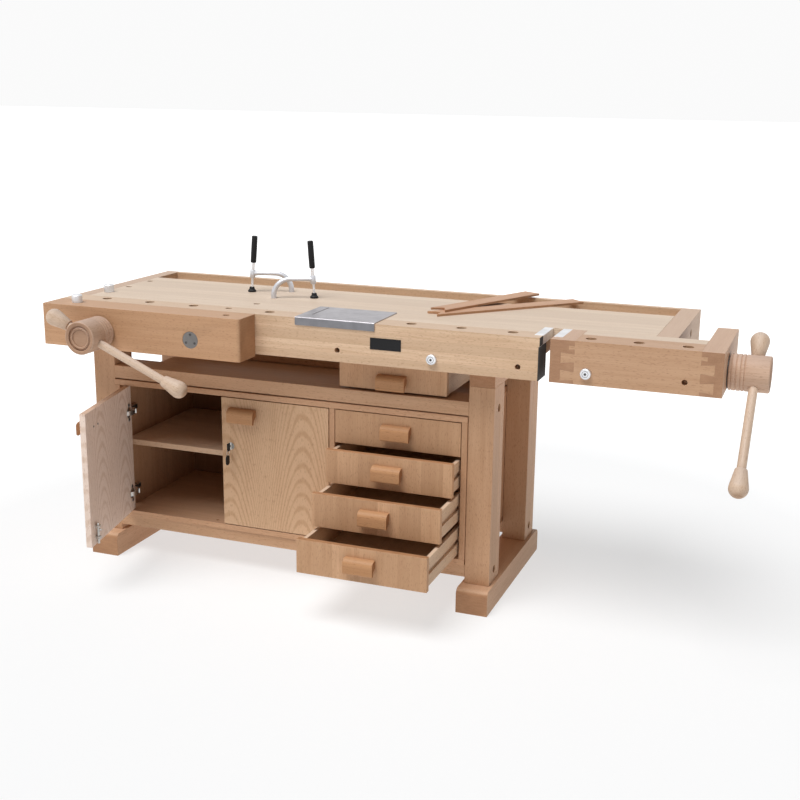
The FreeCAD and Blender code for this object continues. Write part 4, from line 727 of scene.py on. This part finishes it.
plate_low = Vector((apron_low.x + 1.070, 0.0, 0.804))
plate_high = Vector((apron_low.x + 1.167, 0.0, 0.839))
plate_middle = (plate_low + plate_high) / 2
shape = bmesh.new()
bmesh.ops.create_cube(
    shape,
    size=1.0,
    matrix=Matrix.Translation((plate_middle.x, apron_low.y - 0.0006, plate_middle.z))
    @ Matrix.Diagonal((plate_high.x - plate_low.x, 0.0012, plate_high.z - plate_low.z, 1.0)),
)
front = [face for face in shape.faces if face.normal.y < -0.9]
bmesh.ops.inset_individual(shape, faces=front, thickness=0.0018, depth=-0.0004)
finished("bare_nameplate", "bench", shape, black, width=0.0003)

# ---- The dogs and pegs --------------------------------------------------------------------------
# Turned aluminium. The dogs have a groove round their heads, and each peg is held together by a
# screw in its middle.

aluminium = metal("turned_aluminium", colour(226, 227, 230), 0.42, grain=(1.0, 1.0, 16.0))
for node in ("jaw_dog", "bench_dog", "apron_peg", "tail_peg"):
    eased(node, aluminium, width=0.0005, angle=40)

for node, body in (("apron_peg", "peg_in_apron"), ("tail_peg", "peg_in_tail")):
    shape = bmesh.new()
    low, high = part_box(node)
    seat = facing_to((0, -1, 0), ((low.x + high.x) / 2, low.y, (low.z + high.z) / 2))
    lathe(shape, [(0.0082, -0.0005), (0.0092, -0.0005), (0.0092, 0.0002), (0.0082, 0.0002)], seat, 28)
    screw_heads(shape, [seat], 0.0038)
    finished(f"{node}_screw", body, shape, dark_steel_and_shade)

# ---- The holdfasts ------------------------------------------------------------------------------
# Cast arms with a bright, slightly uneven skin. A threaded spindle with a black grip leans in each
# arm's boss and ends in a black swivelling shoe with six lobes.

cast_aluminium = metal("cast_aluminium", colour(214, 215, 220), 0.4, grain=(1.0, 1.0, 1.0), depth=0.25)
lean = math.radians(4)


def tube(shape, stations, place, sides=24):
    """A round bar through stations, each with its middle, its radius and its lean from upright."""
    rings = []
    for middle, radius, bend in stations:
        ring = []
        for side in range(sides):
            turn = math.tau * side / sides
            across = Vector((math.cos(bend), 0.0, -math.sin(bend))) * math.cos(turn) * radius
            corner = Vector(middle) + across + Vector((0.0, math.sin(turn) * radius, 0.0))
            ring.append(shape.verts.new(place @ corner))
        rings.append(ring)
    for first, second in zip(rings, rings[1:]):
        for side in range(sides):
            after = (side + 1) % sides
            shape.faces.new((first[side], first[after], second[after], second[side]))
    shape.faces.new(reversed(rings[0]))
    shape.faces.new(rings[-1])


def holdfast(letter, x, y, angle):
    """A post with a bent arm, a spindle and grip in the arm's boss, and the shoe below."""
    reach, arm_height, bend_radius = 0.128, 0.062, 0.054
    name = f"holdfast_{letter}"
    body = f"clamp_{letter}"
    ground = Matrix.Translation((apron_low.x + x, apron_low.y + y, slab_high.z))
    turned = ground @ Matrix.Rotation(math.radians(angle), 4, "Z")
    spindle = turned @ Matrix.Translation((reach, 0, arm_height)) @ Matrix.Rotation(-lean, 4, "Y")

    shape = bmesh.new()
    post = ((-0.08, 0.0084), (-0.0785, 0.009), (0.006, 0.0088))
    stations = [((0.0, 0.0, height), radius, 0) for height, radius in post]
    for step in range(1, 13):
        bend = math.pi / 2 * step / 12
        place = (bend_radius - bend_radius * math.cos(bend), 0.0, 0.008 + bend_radius * math.sin(bend))
        stations.append((place, 0.0088 - 0.0012 * step / 12, bend))
    for along, radius in ((0.098, 0.0063), (0.110, 0.0066), (0.118, 0.0078), (0.124, 0.0086)):
        stations.append(((along, 0.0, arm_height), radius, math.pi / 2))
    tube(shape, stations, turned)
    boss = [(0.0046, -0.015), (0.0084, -0.015), (0.009, -0.0142), (0.009, 0.0102)]
    boss += [(0.0084, 0.011), (0.0046, 0.011)]
    lathe(shape, boss + boss[:1], spindle, 32)
    arm = finished(name + "_curved_arm", body, shape, cast_aluminium, angle=40)
    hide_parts(name + "_arm")

    shape = bmesh.new()
    core = 0.0036
    rod = [(0, -0.054), (core, -0.054), (core, 0.0115), (0.0055, 0.0115), (0.0055, 0.0353), (0, 0.0353)]
    lathe(shape, rod, spindle, 24)
    thread(shape, core, 0.0043, 0.004, -0.053, 0.012, spindle, 16)
    screw = finished(name + "_screw", body + "_spindle", shape, steel)
    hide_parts(name + "_spindle")

    shape = bmesh.new()
    grip = [(0, 0.0363), (0.0082, 0.0363), (0.0092, 0.0376), (0.0096, 0.041), (0.0098, 0.080)]
    grip += [(0.0096, 0.1215), (0.009, 0.1240), (0.0078, 0.1250), (0, 0.1250)]
    lathe(shape, grip, spindle, 32)
    finished(name + "_grip", body + "_spindle", shape, black)

    foot = turned @ Matrix.Translation((reach + math.sin(lean) * 0.050, 0, 0))
    shape = bmesh.new()
    bell = [(0, 0.0003), (0.0131, 0.0003), (0.0135, 0.0010), (0.0135, 0.0054), (0.0124, 0.0066)]
    bell += [(0.0100, 0.0085), (0.0087, 0.0115), (0.0082, 0.0160), (0.0076, 0.0168)]
    bell += [(0.0058, 0.0168), (0.0058, 0.0075), (0, 0.0075)]
    lathe(shape, bell, identity, 48)
    for vertex in shape.verts:
        radius = math.hypot(vertex.co.x, vertex.co.y)
        if radius > 0.012 and vertex.co.z > 0.0007:
            lobe = 1.0 - 0.05 * (1.0 - math.cos(6 * math.atan2(vertex.co.y, vertex.co.x)))
            vertex.co.x *= lobe
            vertex.co.y *= lobe
    bmesh.ops.transform(shape, matrix=foot, verts=shape.verts)
    shoe = finished(name + "_lobed_shoe", body + "_shoe", shape, black)
    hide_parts(name + "_shoe")


holdfast("a", 0.618, 0.413, 203.5)
holdfast("b", 0.618, 0.280, 23.5)

# ---- The edge plate and the battens -------------------------------------------------------------
# A bent aluminium plate hooks over the edge. Its top is brushed across and its lip is duller. Two
# thin beech battens with a notch in one end lie on the slab.

plate_finish = metal("brushed_plate", colour(176, 173, 177), 0.38, grain=(16.0, 1.0, 16.0))
lip_finish = metal("dull_lip", colour(132, 132, 136), 0.5, grain=(1.0, 16.0, 16.0), depth=0.3)
plate = eased("edge_plate", plate_finish, width=0.0003)
painted(plate, lip_finish, lambda middle: middle.y < apron_low.y and middle.z < slab_high.z - 0.0005)
batten_tone = colour(204, 160, 126)
for node, angle, seed in (("batten_lower", 48.3, 12.0), ("batten_upper", 66.0, 12.6)):
    batten_wood = beech(f"{node}_beech", 0, batten_tone, turn=(0, 0, -math.radians(angle)), seed=seed)
    eased(node, batten_wood, width=0.0006)

# ---- The studio ---------------------------------------------------------------------------------
# A pale floor under one broad soft light from above and a little to the front left. The floor glows
# more away from the bench. The room looks bright, but lights the bench only dimly.

flat = bmesh.new()
bmesh.ops.create_grid(flat, x_segments=1, y_segments=1, size=60.0)
mesh = bpy.data.meshes.new("floor")
flat.to_mesh(mesh)
flat.free()
floor = bpy.data.objects.new("floor", mesh)
bpy.context.collection.objects.link(floor)
paint = Finish("floor_paint")
cloud = paint.noise(paint.place(), 0.6, 2.0)
distance = paint.node("ShaderNodeVectorMath", {"operation": "LENGTH"}, {0: paint.place()}, 1)
near_glow, far_glow = (0.62, 0.625, 0.63, 1.0), (1.0, 1.0, 1.0, 1.0)
mesh.materials.append(
    paint.shader(
        Base_Color=paint.mixed(cloud, (0.35, 0.35, 0.35, 1.0), (0.37, 0.37, 0.37, 1.0)),
        Emission_Color=paint.mixed(distance.between(1.6, 3.2), near_glow, far_glow),
        Emission_Strength=1.0,
        Roughness=cloud * 0.05 + 0.8,
        Specular_IOR_Level=0.1,
    )
)

lamp = bpy.data.lights.new("soft_sky", "SUN")
lamp.energy = 2.85
lamp.angle = math.radians(38)
light = bpy.data.objects.new("soft_sky", lamp)
light.rotation_euler = Vector((-0.18, -0.42, 1.0)).to_track_quat("Z", "Y").to_euler()
bpy.context.collection.objects.link(light)

world = bpy.data.worlds.new("studio")
world.use_nodes = True
nodes = world.node_tree.nodes
links = world.node_tree.links
dim = nodes["Background"]
dim.inputs["Color"].default_value = (1.0, 1.0, 1.0, 1.0)
dim.inputs["Strength"].default_value = 0.08
bright = nodes.new("ShaderNodeBackground")
bright.inputs["Strength"].default_value = 1.2
seen = nodes.new("ShaderNodeLightPath")
either = nodes.new("ShaderNodeMath")
either.operation = "MAXIMUM"
links.new(seen.outputs["Is Camera Ray"], either.inputs[0])
links.new(seen.outputs["Is Glossy Ray"], either.inputs[1])
choice = nodes.new("ShaderNodeMixShader")
links.new(either.outputs[0], choice.inputs[0])
links.new(dim.outputs[0], choice.inputs[1])
links.new(bright.outputs[0], choice.inputs[2])
links.new(choice.outputs[0], nodes["World Output"].inputs[0])
bpy.context.scene.world = world
bpy.context.scene.view_settings.view_transform = "Standard"

# ---- The camera ---------------------------------------------------------------------------------
# It stands in front and to the right, a little above the bench.

lens = bpy.data.cameras.new("camera")
lens.lens = 54.74
lens.clip_end = 200.0
camera = bpy.data.objects.new("camera", lens)
bpy.context.collection.objects.link(camera)
heading = Euler((math.radians(90 - 14.52), 0.0, math.radians(20.55))).to_matrix().to_4x4()
roll = Matrix.Rotation(math.radians(0.69), 4, "Z")
camera.matrix_world = Matrix.Translation((1.285, -3.429, 1.556)) @ heading @ roll
bpy.context.scene.camera = camera
